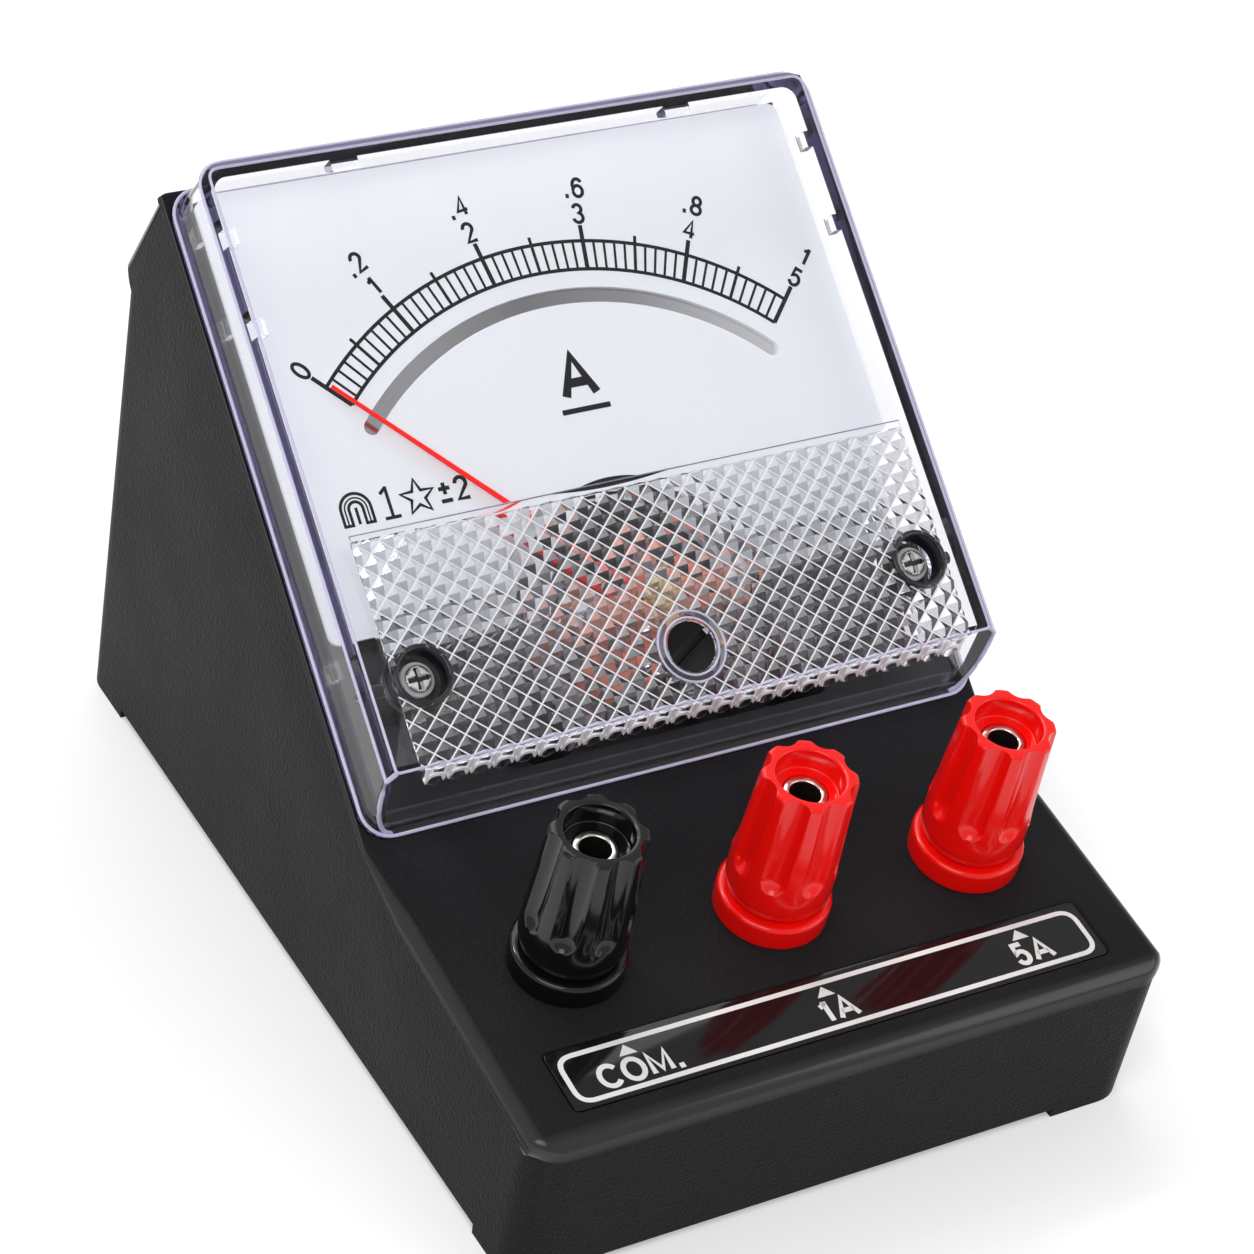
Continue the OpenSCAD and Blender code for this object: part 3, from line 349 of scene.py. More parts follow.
def housing_skin(size, material):
    """The housing's outside as one surface: its side outline carried across, with rounded side edges.

    At outline place p with slant n and edge radius r the edge runs through x = w - r (1 - sin a) and
    p - r (1 - cos a) n, with a from nought on the face to a quarter turn on the side wall. Flat faces fill
    between; the panel is pierced by the meter's pocket and the deck is sunk for the label, both with small
    bevels; the foot is notched between the pads.
    """
    rows, flats = case_outline(size)
    w, notch, pad = size.case_width / 2, size.case_width / 2 - size.pad_length, size.pad_height
    place, slant, r = rows[:, :2], rows[:, 2:4], rows[:, 4]
    a, polish, bend = np.linspace(0, np.pi / 2, 9), [], np.zeros(len(rows))
    bend[flats[0] + 1:flats[1] + 1] = np.sin(np.linspace(0, np.pi, flats[1] - flats[0]))
    out = w - r[:, None] * (1 - np.sin(a))
    yz = place[:, None, :] - (r[:, None] * (1 - np.cos(a)))[..., None] * slant[:, None, :]
    parts = []
    for side in (-1, 1):
        edge = np.concatenate([side * out[..., None], yz], -1)
        parts.append((edge.reshape(-1, 3), grid_faces(*edge.shape[:2])))
        polish.append(np.maximum(np.where(r[:, None] < 3, np.sin(2 * a), 0), bend[:, None]).ravel())
        wall = np.column_stack([np.full(len(rows), side * w), yz[:, -1]])
        rear = size.case_depth / 2 - size.pad_length
        steps = [[side * w, rear, 0], [side * w, rear, pad], [side * w, -rear, pad], [side * w, -rear, 0]]
        parts.append(filled([np.concatenate([wall, steps])]))
        polish.append(np.zeros(len(parts[-1][0])))
    across = lambda k: np.array([[-out[k, 0], *place[k]], [out[k, 0], *place[k]]])
    label_steps = ((0.3, 0), (0, -0.3), (0, -size.label_depth))
    pocket_steps = ((0.15, 0), (0, -0.15), (0, -size.pocket_depth))
    openings = {
        flats[1]: (size.label_across, size.label_along, size.label_corner, size.label_middle, label_steps),
        flats[3]: (size.pocket_across, size.pocket_along, size.pocket_corner, size.panel_length / 2,
                   pocket_steps),
    }
    starts = {flats[1]: np.array([-size.case_depth / 2, size.deck_height]), flats[3]: place[flats[3]]}
    for k in range(len(rows) - 1):
        low, high = across(k), across(k + 1)
        if k in (flats[0], flats[-1]):
            foot, top = (low, high) if k == flats[0] else (high, low)
            lift = foot[0] + (top[0] - foot[0]) * pad / (top[0][2] - foot[0][2])
            at = lambda x, spot: [x, spot[1], spot[2]]
            step = [at(-notch, foot[0]), at(-notch, lift), at(notch, lift), at(notch, foot[0])]
            parts.append(filled([[foot[0], *step, foot[1], top[1], top[0]]]))
        elif k in openings:
            half, reach, radius, middle, steps = openings[k]
            leg = (place[k + 1] - place[k]) / np.linalg.norm(place[k + 1] - place[k])
            square = np.array([-leg[1], leg[0]])

            def loop_at(grow, depth):
                ring = round_loop(half + grow, reach + grow, radius + grow)
                flat = starts[k] + (ring[:, 1:] + middle) * leg + depth * square
                return np.column_stack([ring[:, 0], flat])

            parts.append(filled([[low[0], low[1], high[1], high[0]], loop_at(*steps[0])]))
            parts.append(sunk(loop_at, steps))
            if k == flats[1]:
                parts.append(filled([loop_at(*steps[-1])]))
        else:
            parts.append((np.concatenate([low, high]), [[0, 1, 3, 2]]))
        fresh = sum(len(part[0]) for part in parts) - sum(map(len, polish))
        polish.append(np.repeat(bend[k:k + 2], 2) if fresh == 4 else np.zeros(fresh))
    parts.append(case_foot(size, rows, out, yz))
    polish.append(np.zeros(len(parts[-1][0])))
    verts, faces = joined(parts)
    piece = new_piece("housing_skin", verts * MM, faces, material)
    worn = piece.data.attributes.new("polish", "FLOAT", "POINT")
    worn.data.foreach_set("value", np.concatenate(polish).astype(np.float32))
    work = bmesh.new()
    work.from_mesh(piece.data)
    bmesh.ops.remove_doubles(work, verts=work.verts, dist=2e-6)
    bmesh.ops.recalc_face_normals(work, faces=work.faces)
    for face in work.faces:
        face.smooth = True
    for edge in work.edges:
        edge.smooth = edge.calc_face_angle(0.0) < math.radians(20)
    work.to_mesh(piece.data)
    work.free()
    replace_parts(piece, "housing")
    return piece


def case_foot(size, rows, out, yz):
    """The underside's rim: the foot's loop, that loop set in by the wall, and that one raised to close it."""
    notch, deep = size.case_width / 2 - size.pad_length, size.case_depth / 2 - size.pad_length
    pad, loop = size.pad_height, []
    for end, way in ((0, 1), (len(rows) - 1, -1)):
        turn = np.linspace(0, np.pi / 2, out.shape[1])
        face = np.array([0.0, -way])
        y0 = yz[end, 0, 0]
        y1 = y0 + (yz[end + way, 0, 0] - y0) * pad / yz[end + way, 0, 1]
        step = ((-notch, y0, 0), (-notch, y1, pad), (notch, y1, pad), (notch, y0, 0))
        loop += [(way * x, y, z, *face) for x, y, z in step]
        loop += [(way * out[end, j], yz[end, j, 0], 0, way * math.sin(t), -way * math.cos(t))
                 for j, t in enumerate(turn)]
        x = way * out[end, -1]
        loop += [(x, -way * deep, z, way, 0) for z in (0, pad)]
        loop += [(x, way * deep, z, way, 0) for z in (pad, 0)]
        other = len(rows) - 1 - end
        loop += [(way * out[other, j], yz[other, j, 0], 0, way * math.sin(t), way * math.cos(t))
                 for j, t in reversed(list(enumerate(turn)))]
    loop = np.array(loop)
    inner = np.column_stack([loop[:, :2] - size.case_wall * loop[:, 3:], loop[:, 2]])
    inside = np.column_stack([inner[:, :2], np.full(len(loop), size.rim_height)])
    rings = np.concatenate([loop[:, :3], inner, inside])
    return rings, grid_faces(3, len(loop), False, True)


# Finishes of the cover's faces; the prism tints and the dark edge finish are painted light and shade
COVER_FINISHES = ("clear", "prism_low_right_painted_shade", "clear_edge_painted_shade", "well", "prism_up_left_painted_highlight", "prism_up_right_painted_shade",
                  "prism_low_left_painted_shade")


def cover_skin(size):
    """A merged copy of the clear cover, its faces sorted into walls, facets tinted by the way they face as
    painted light and shade, edges painted dark as shade, and wells.
    """
    work = working_copy("meter_cover", flat=False)
    for level in (size.band_low, size.band_high):
        everything = work.verts[:] + work.edges[:] + work.faces[:]
        bmesh.ops.bisect_plane(work, geom=everything, dist=1e-7,
                               plane_co=placed([0, level, 0], DIAL), plane_no=DIAL[1][1])
    piece = rounded_copy(work, "meter_cover", "case", 0, 28)
    mesh = piece.data
    index = {}
    for name in COVER_FINISHES:
        index[name] = len(mesh.materials)
        mesh.materials.append(FINISH[name])
    centre, normal = face_places(mesh)
    across, up, out = measured(centre, DIAL).T
    side, head, lean = (normal @ DIAL[1].T).T
    kind = np.full(len(centre), index["clear"])
    behind = size.cover_front - size.cover_plate - 0.05
    band = (out > behind) & (up > size.band_low) & (up < size.band_high) & (np.abs(across) < size.band_across)
    # Painted shade: the whole band gets a grey, slightly milky tint
    kind[band] = index["prism_low_right_painted_shade"]
    # Painted light and shade: each facet gets a lighter or darker tint by the way it faces the lamps
    facet = band & (out > size.cover_front) & (lean > 0.5) & (lean < 0.95)
    kind[facet & (side < 0) & (head > 0)] = index["prism_up_left_painted_highlight"]
    kind[facet & (side > 0) & (head > 0)] = index["prism_up_right_painted_shade"]
    kind[facet & (side < 0) & (head < 0)] = index["prism_low_left_painted_shade"]
    # Painted shade: bevels facing right and up, and the flange's underside, are given an opaque dark indigo
    bevelled = ~band & (out > behind) & (lean > 0.5) & (lean < 0.85)
    kind[bevelled & ((side > 0.4) | (head > 0.4))] = index["clear_edge_painted_shade"]
    kind[(lean < -0.9) & (out < size.flange_top - 1.0)] = index["clear_edge_painted_shade"]
    well = np.hypot(np.abs(across) - size.well_across, up - size.well_up)
    kind[(well < size.well_radius) & (np.abs(lean) < 0.5)] = index["well"]
    mesh.polygons.foreach_set("material_index", kind.astype(np.int32))
    return piece


def lower_wall(size):
    """Directions down the cover's slanted lower wall and out of it."""
    down = np.array([0, -size.rib_slant, -size.cover_height])
    down /= np.linalg.norm(down)
    out = np.cross([1, 0, 0], down)
    return down, out * np.sign(out[2])


def rib_feet(size):
    """The ribs' upper ends, evenly spaced along the foot of the prism band."""
    across = (np.arange(size.rib_count) - (size.rib_count - 1) / 2) * size.rib_pitch
    return [np.array([x, size.band_low + 0.3, size.cover_front]) for x in across]


def band_ribs(size):
    """Half-round ribs that run from the band over the cover's slanted lower wall.

    Along each rib the cross-section is half an ellipse, scaled at the lower end by sqrt(1 - u^2).
    """
    down, out = lower_wall(size)
    t = np.linspace(0, 1, 15)
    full = np.sqrt(np.clip(1 - np.clip((t - 0.6) / 0.4, 0, 1) ** 2, 0.0004, 1))
    a = np.linspace(0, np.pi, 13)
    cross = np.cos(a)[None, :, None] * np.array([1.0, 0, 0]) * size.rib_width / 2
    rise = np.sin(a)[None, :, None] * out * size.rib_height
    rib = size.rib_length * t[:, None, None] * down + full[:, None, None] * (cross + rise) - out * 0.03
    n, m = rib.shape[:2]
    faces = [list(f) for f in grid_faces(n, m, False, True)]
    faces += [list(range(m))[::-1], list(range((n - 1) * m, n * m))]
    verts, faces = joined([(foot + rib.reshape(-1, 3), faces) for foot in rib_feet(size)])
    return cover_trim("prism_ribs", verts, faces, "prism")


def rib_edges(size):
    """A painted highlight on the edge of each rib: a flat bar along a U, laid on the slanted lower wall."""
    half, straight = size.rib_width / 2, size.rib_length - size.rib_width / 2
    path = np.concatenate([[[-half, 0]], oval(0, straight, half, half, -90, -270), [[half, 0]]])
    verts, faces = bar(path, size.rib_edge, -0.1, 0.45)
    edge = verts @ np.array([[1, 0, 0], *lower_wall(size)])
    verts, faces = joined([(foot + edge, faces) for foot in rib_feet(size)])
    return cover_trim("rib_edges", verts, faces, "prism_line", False)


def prism_valleys(size):
    """Fillets between the prisms, in an opaque white as painted highlights: along each valley a shallow
    trough y = a + b x^2 that meets both slopes.
    """
    middle, reach = (size.band_low + size.band_high - 0.2) / 2, (size.band_high - 0.2 - size.band_low) / 2
    half, slope = size.prism_fillet / 2, size.prism_slope
    x = np.linspace(-half, half, 5)
    rise = slope * half / 2 + slope * x ** 2 / (2 * half) + size.cover_front + 0.06
    t = np.linspace(-1, 1, 121)
    hollows = [(sign * size.well_across, size.well_up, size.well_radius + 0.65) for sign in (-1, 1)]
    hollows.append((BOSS[0], BOSS[1], size.boss_radius + 0.15))
    count = math.ceil((size.band_across + reach * size.prism_pitch / size.prism_rise) / size.prism_pitch)
    parts = []
    for way in (-1, 1):
        along = np.array([way * size.prism_pitch, size.prism_rise])
        along /= np.linalg.norm(along)
        square = np.array([along[1], -along[0]])
        for k in range(-count, count):
            start = np.array([(k + 0.5) * size.prism_pitch, middle])
            line = start + (t * reach / along[1])[:, None] * along
            mid = (line[1:] + line[:-1]) / 2
            keep = np.abs(mid[:, 0]) < size.band_across - 0.3
            for across, up, radius in hollows:
                keep &= np.hypot(mid[:, 0] - across, mid[:, 1] - up) > radius
            if not keep.any():
                continue
            flat = line[:, None, :] + x[None, :, None] * square
            lift = np.broadcast_to(rise[None, :, None], flat.shape[:2] + (1,))
            grid = np.concatenate([flat, lift], -1).reshape(-1, 3)
            faces = grid_faces(len(t), len(x)).reshape(len(t) - 1, -1, 4)[keep].reshape(-1, 4)
            used, index = np.unique(faces, return_inverse=True)
            parts.append((grid[used], index.reshape(faces.shape)))
    return cover_trim("prism_valleys", *joined(parts), "prism_line")


def cover_trim(name, verts, faces, finish, smooth=True):
    """A piece on the clear cover from points in the dial's millimetres."""
    return new_piece(name, placed(verts, DIAL), faces, FINISH[finish], slot="clear_cover", smooth=smooth)


def tube(path, radius, closed, steps=10):
    """A round bead: at each path point a circle square to the path, joined in rows."""
    path = np.asarray(path, float)
    ahead = np.roll(path, -1, 0) - np.roll(path, 1, 0)
    if not closed:
        ahead[0], ahead[-1] = path[1] - path[0], path[-1] - path[-2]
    ahead /= np.linalg.norm(ahead, axis=1, keepdims=True)
    aside = np.cross(ahead, np.where(np.abs(ahead[:, 2:]) > 0.9, [1.0, 0, 0], [0, 0, 1.0]))
    aside /= np.linalg.norm(aside, axis=1, keepdims=True)
    a = np.linspace(0, 2 * np.pi, steps, endpoint=False)[None, :, None]
    ring = path[:, None] + radius * (np.cos(a) * aside[:, None] + np.sin(a) * np.cross(ahead, aside)[:, None])
    faces = [list(f) for f in grid_faces(len(path), steps, closed, True)]
    if not closed:
        faces += [list(range(steps))[::-1], list(range((len(path) - 1) * steps, len(path) * steps))]
    return ring.reshape(-1, 3), faces


def cover_beads(size):
    """Rounded edges of the clear cover, tinted lilac as painted light: beads along its front, bevel, flange
    and slanted corners.
    """
    level = lambda loop, out: np.column_stack([loop, np.full(len(loop), out)])
    w, low, high, round_ = size.cover_across, size.cover_low, size.cover_high, size.cover_corner
    front, edge, slant = size.cover_front, size.cover_bevel, size.rib_slant
    corners = [[edge - w, low], [w - edge, low], [w - edge, high - edge], [edge - w, high - edge]]
    face = rounded_path(corners, [0.6, 0.6, 1.6, 1.6])
    sides = rounded_path([[-w, low - 0.5], [-w, high], [w, high], [w, low - 0.5]], [0, round_, round_, 0], 9)
    foot = round_loop(w + 0.45, size.cover_length / 2, round_) + [0, size.cover_middle]
    parts = [tube(level(face, front), 0.2, True), tube(level(sides, front - edge), 0.22, False),
             tube(level(foot, size.flange_top), 0.24, True)]
    turn = np.radians(np.linspace(12, 90, 9))
    up = low - slant + round_ * (1 - np.cos(turn))
    rise = (up - low + slant) / slant * size.cover_height + size.flange_top - 1.2
    for side in (-1, 1):
        bend = np.column_stack([side * (w - round_ + round_ * np.sin(turn)), up, rise])
        ends = [[side * w, low - 0.5, front - edge], [side * (w - edge), low, front]]
        parts.append(tube(np.concatenate([bend, ends]), 0.34, False))
    # Painted highlight: two bright rings round the zero boss
    for radius in (size.boss_bore, size.boss_radius):
        parts.append(tube(level(oval(BOSS[0], BOSS[1], radius, radius), front + 0.84), 0.16, True))
    return cover_trim("cover_beads", *joined(parts), "bead")


def well_rims(size):
    """Smooth lips of the two screw wells: a turned ring over the cut prisms."""
    inner, top, lip = size.well_radius - 0.15, size.cover_front, 0.75
    outer = inner + lip
    corners = [(inner, top - 1.6), (inner, top + lip), (outer, top + lip), (outer, top + 0.05)]
    verts, faces = revolved(rounded_path(corners, [0, 0.35, 0.35, 0]), 96)
    rings = [(verts + [sign * size.well_across, size.well_up, 0], faces) for sign in (-1, 1)]
    return cover_trim("well_rims", *joined(rings), "well")


def darkened(piece, finish, where):
    """Gives the faces of a piece that a test of centres and normals picks a second finish, a painted shade
    for its hollows.
    """
    piece.data.materials.append(finish)
    picked = where(*face_places(piece.data))
    piece.data.polygons.foreach_set("material_index", picked.astype(np.int32))


def coat(material, *nodes):
    """Gives CAD nodes a finish in place of their own."""
    for node in nodes:
        slots = NODES[node].data.materials
        slots.clear()
        slots.append(material)


# Lower and upper faces of the print on the dial and on the label, in millimetres
DIAL_INK = (0.0, 0.03)
LABEL_INK = (-3.65, -3.62)


def meter_signs():
    """The dial's signs in bars: a horseshoe with its coil, an upright mark, a star's outline, the class."""
    level, line = 20.4, 0.42
    horseshoe, upright, star, accuracy = -36.6, -31.8, -27.6, -22.4
    arch = lambda r: np.concatenate([[[-r, -2.1]], arc(r, -90, 90, 25), [[r, -2.1]]])
    sign = np.concatenate([arch(2.15), arch(1.0)[::-1]])
    parts = [bar(sign + [horseshoe, level], line, *DIAL_INK, closed=True)]
    parts.append(bar(arch(1.58) * [1, 0.98] + [horseshoe, level], 0.22, *DIAL_INK))
    parts.append(bar(np.array([[horseshoe, level - 2.1], [horseshoe, level + 0.2]]), line, *DIAL_INK))
    for stroke in ([[0, -2.1], [0, 2.2]], [[-1.15, -2.1], [1.15, -2.1]], [[0.05, 2.1], [-0.95, 1.3]]):
        parts.append(bar(np.array(stroke) + [upright, level], 0.46, *DIAL_INK))
    points = np.concatenate([arc(1.05 if k % 2 else 2.5, 36 * k, 36 * k, 1) for k in range(10)])
    parts.append(bar(points + [star, level - 0.1], line, *DIAL_INK, closed=True))
    for path, closed in lettering("+2", 3.5, 0.55):
        parts.append(bar(path + [accuracy, level - 1.8], 0.55, *DIAL_INK, closed))
    return parts


# Terminals

def revolved(profile, steps):
    """A closed ring surface: each profile point (radius, height) carried round the axis in equal steps."""
    profile = np.asarray(profile, float)
    a = np.linspace(0, 2 * np.pi, steps, endpoint=False)[:, None]
    verts = np.stack([profile[:, 0] * np.cos(a), profile[:, 0] * np.sin(a), profile[:, 1] + 0 * a], -1)
    return verts.reshape(-1, 3), grid_faces(steps, len(profile), True, True)


def rounded_path(points, radii, steps=6):
    """A closed plane path whose corners are replaced by quadratic bends of a given reach."""
    points = np.asarray(points, float)
    out = []
    for before, here, after, r in zip(np.roll(points, 1, 0), points, np.roll(points, -1, 0), radii):
        if r == 0:
            out.append(here[None])
            continue
        a = here + (before - here) / np.linalg.norm(before - here) * r
        b = here + (after - here) / np.linalg.norm(after - here) * r
        t = np.linspace(0, 1, steps)[:, None]
        out.append((1 - t) ** 2 * a + 2 * t * (1 - t) * here + t ** 2 * b)
    return np.concatenate(out)


def split_long(path, longest):
    """A closed path with extra points put evenly along each leg that is longer than a limit."""
    legs = np.roll(path, -1, 0) - path
    counts = np.maximum(1, np.ceil(np.linalg.norm(legs, axis=1) / longest).astype(int))
    return np.concatenate([p + leg * np.arange(n)[:, None] / n for p, leg, n in zip(path, legs, counts)])


def fluted_cap(size, phase):
    """A screw cap: a turned profile whose outside is scooped by round flutes.

    At each height a flute is the section of a ball-ended rod: its near side lies at
    c cos(a) - sqrt(f^2 - c^2 sin^2(a)), with a the angle from the flute, f the rod's radius there and c its
    distance; the outline is the lesser of that and the turned radius, rounded where they meet.
    """
    low, top = size.cap_foot, size.cap_top
    bore, socket, wide, narrow, seat = 3.06, 4.5, 7.1, 6.35, 5.7
    corners = [(bore, top - 3.2), (socket, top - 3.2), (socket, top), (narrow, top), (wide, low + 4.2),
               (7.05, low + 2.2), (6.55, low), (seat, low), (seat, low + 0.42), (bore, low + 0.42)]
    path = rounded_path(corners, [0, 0.3, 0.45, 0.55, 2.5, 1.0, 0.35, 0, 0, 0])
    path = split_long(path, 0.45)
    flutes = 8
    steps, pitch = flutes * 28, 2 * np.pi / flutes
    a = np.linspace(0, 2 * np.pi, steps, endpoint=False)[:, None] + math.radians(phase)
    r, h = path[None, :, 0], path[None, :, 1]
    rod, depth, end = 2.2, 1.0, low + 4.7
    reach = np.clip((h - end) / rod, 0, 1)
    rod_here = rod * np.sqrt(np.maximum(1 - (1 - reach) ** 2, 0))
    side = np.interp(h, [low + 4.2, top], [wide, narrow])
    centre = side + rod - depth
    from_flute = (a + pitch / 2) % pitch - pitch / 2
    inside = np.maximum(rod_here ** 2 - (centre * np.sin(from_flute)) ** 2, 0)
    scoop = np.where(inside > 0, centre * np.cos(from_flute) - np.sqrt(inside), np.inf)
    soft = 0.12
    gap = np.clip(0.5 + 0.5 * (scoop - r) / soft, 0, 1)
    near = np.where(inside > 0, scoop, 0)
    blend = np.where(inside > 0, near * (1 - gap) + r * gap - soft * gap * (1 - gap), r)
    outside = (r > 5.2) & (h > low + 3)
    radius = np.where(outside, np.minimum(blend, r), r + 0 * a)
    verts = np.stack([radius * np.cos(a), radius * np.sin(a), h + 0 * a], -1)
    return verts.reshape(-1, 3), grid_faces(steps, path.shape[0], True, True)


def collar_ring(size):
    """A collar: a turned ring with a rounded upper edge and a step under the cap."""
    top, bore, neck, wide = size.collar_top, 3.06, 4.6, 7.7
    shoulder = top - 3.5
    foot = shoulder - 2.4
    corners = [(bore, top), (bore, foot), (neck, foot), (neck, shoulder), (wide, shoulder), (wide, top)]
    return revolved(split_long(rounded_path(corners, [0, 0, 0, 0, 0.25, 0.7]), 0.8), 128)


# Finishes

def shader(name, colour, roughness, metallic=0.0):
    """A new material with its plain sockets set; returns the material, its shader, nodes and links."""
    material = bpy.data.materials.new(name)
    material.use_nodes = True
    tree = material.node_tree
    principled = tree.nodes["Principled BSDF"]
    principled.inputs["Base Color"].default_value = (*colour[:3], 1)
    principled.inputs["Roughness"].default_value = roughness
    principled.inputs["Metallic"].default_value = metallic
    return material, principled, tree.nodes, tree.links


def grain_group():
    """Node group: two sizes of noise summed give a height, and the coarse one shifts a roughness."""
    group = bpy.data.node_groups.new("moulded_grain", "ShaderNodeTree")
    face = group.interface
    for name, default in (("Fine", 2600.0), ("Coarse", 60.0), ("Roughness", 0.4), ("Spread", 0.1)):
        socket = face.new_socket(name=name, in_out="INPUT", socket_type="NodeSocketFloat")
        socket.default_value = default
    for name in ("Height", "Roughness"):
        face.new_socket(name=name, in_out="OUTPUT", socket_type="NodeSocketFloat")
    nodes, links = group.nodes, group.links
    inp, out = nodes.new("NodeGroupInput"), nodes.new("NodeGroupOutput")
    place = nodes.new("ShaderNodeTexCoord")
    fine, coarse = nodes.new("ShaderNodeTexVoronoi"), nodes.new("ShaderNodeTexNoise")
    fine.feature = "SMOOTH_F1"
    links.new(place.outputs["Object"], fine.inputs["Vector"])
    links.new(place.outputs["Object"], coarse.inputs["Vector"])
    links.new(inp.outputs["Fine"], fine.inputs["Scale"])
    links.new(inp.outputs["Coarse"], coarse.inputs["Scale"])
    coarse.inputs["Detail"].default_value = 4
    shift = nodes.new("ShaderNodeMath")
    shift.operation = "SUBTRACT"
    shift.inputs[1].default_value = 0.5
    links.new(coarse.outputs["Fac"], shift.inputs[0])
    spread = nodes.new("ShaderNodeMath")
    spread.operation = "MULTIPLY_ADD"
    links.new(shift.outputs[0], spread.inputs[0])
    links.new(inp.outputs["Spread"], spread.inputs[1])
    links.new(inp.outputs["Roughness"], spread.inputs[2])
    links.new(fine.outputs["Distance"], out.inputs["Height"])
    links.new(spread.outputs[0], out.inputs["Roughness"])
    return group


def tone_group():
    """Node group: a slow noise mixes two near tones of one colour."""
    group = bpy.data.node_groups.new("colour_drift", "ShaderNodeTree")
    face = group.interface
    for name, kind in (("Tone A", "Color"), ("Tone B", "Color"), ("Scale", "Float")):
        face.new_socket(name=name, in_out="INPUT", socket_type="NodeSocket" + kind)
    face.new_socket(name="Colour", in_out="OUTPUT", socket_type="NodeSocketColor")
    nodes, links = group.nodes, group.links
    inp, out = nodes.new("NodeGroupInput"), nodes.new("NodeGroupOutput")
    place, noise = nodes.new("ShaderNodeTexCoord"), nodes.new("ShaderNodeTexNoise")
    noise.inputs["Detail"].default_value = 3
    mix = nodes.new("ShaderNodeMix")
    mix.data_type = "RGBA"
    links.new(place.outputs["Object"], noise.inputs["Vector"])
    links.new(inp.outputs["Scale"], noise.inputs["Scale"])
    links.new(noise.outputs["Fac"], mix.inputs[0])
    links.new(inp.outputs["Tone A"], mix.inputs[6])
    links.new(inp.outputs["Tone B"], mix.inputs[7])
    links.new(mix.outputs[2], out.inputs["Colour"])
    return group


GROUPS = {}


def place_group(nodes, maker, values):
    """Puts a shared group into a material with its own values."""
    if maker.__name__ not in GROUPS:
        GROUPS[maker.__name__] = maker()
    holder = nodes.new("ShaderNodeGroup")
    holder.node_tree = GROUPS[maker.__name__]
    for name, value in values.items():
        holder.inputs[name].default_value = value
    return holder


def dressed(name, colour, roughness, metallic, tones, surface):
    """A material whose colour drifts between two shares of it and whose roughness wanders with the grain."""
    material, principled, nodes, links = shader(name, colour, roughness, metallic)
    darker, lighter, scale = tones
    drift = place_group(nodes, tone_group, {
        "Tone A": (*[c * darker for c in colour[:3]], 1), "Tone B": (*[c * lighter for c in colour[:3]], 1),
        "Scale": scale})
    links.new(drift.outputs["Colour"], principled.inputs["Base Color"])
    fine, coarse, spread = surface
    grain = place_group(nodes, grain_group, {
        "Fine": fine, "Coarse": coarse, "Roughness": roughness, "Spread": spread})
    links.new(grain.outputs["Roughness"], principled.inputs["Roughness"])
    return material, principled, grain


def plastic(name, colour, roughness, grain=0.0, spread=0.1, coat_weight=0.0, drift=0.12, shine=0.5):
    """Moulded plastic: near tones of its colour, a grain that bumps it and a gloss that wanders a little."""
    tones, surface = (1 - drift, 1 + drift, 40.0), (2600.0, 60.0, spread)
    material, principled, relief = dressed(name, colour, roughness, 0.0, tones, surface)
    if grain:
        bump = material.node_tree.nodes.new("ShaderNodeBump")
        bump.inputs["Strength"].default_value = grain
        bump.inputs["Distance"].default_value = 0.0002
        material.node_tree.links.new(relief.outputs["Height"], bump.inputs["Height"])
        material.node_tree.links.new(bump.outputs["Normal"], principled.inputs["Normal"])
    principled.inputs["Specular IOR Level"].default_value = shine
    principled.inputs["Coat Weight"].default_value = coat_weight
    principled.inputs["Coat Roughness"].default_value = 0.05
    return material


def polished_edges(material):
    """Lets a mesh's own polish attribute, nought where it has none, give its edges a glossier coat."""
    nodes, links = material.node_tree.nodes, material.node_tree.links
    worn = nodes.new("ShaderNodeAttribute")
    worn.attribute_name = "polish"
    links.new(worn.outputs["Fac"], nodes["Principled BSDF"].inputs["Coat Weight"])
    nodes["Principled BSDF"].inputs["Coat Roughness"].default_value = 0.17


def metal(name, colour, roughness):
    """Plated or rolled metal: its colour drifts a little and its polish wanders."""
    return dressed(name, colour, roughness, 1.0, (0.9, 1.06, 300.0), (4000.0, 300.0, 0.12))[0]


def let_lamps_through(material, colour):
    """Mixes a Transparent shader in for shadow rays, so that lamps reach what is behind a clear surface."""
    nodes, links = material.node_tree.nodes, material.node_tree.links
    kinds = ("LightPath", "BsdfTransparent", "MixShader")
    path, open_air, mix = (nodes.new("ShaderNode" + kind) for kind in kinds)
    open_air.inputs["Color"].default_value = (*colour[:3], 1)
    links.new(path.outputs["Is Shadow Ray"], mix.inputs[0])
    links.new(nodes["Principled BSDF"].outputs[0], mix.inputs[1])
    links.new(open_air.outputs[0], mix.inputs[2])
    links.new(mix.outputs[0], nodes["Material Output"].inputs["Surface"])


def clear_plastic(name, colour, ior, clear, roughness):
    """Clear moulding: transmission at a given bend of light, less than full where a facet looks milky."""
    material, principled = shader(name, colour, roughness)[:2]
    principled.inputs["Transmission Weight"].default_value = clear
    principled.inputs["IOR"].default_value = ior
    let_lamps_through(material, colour)
    return material


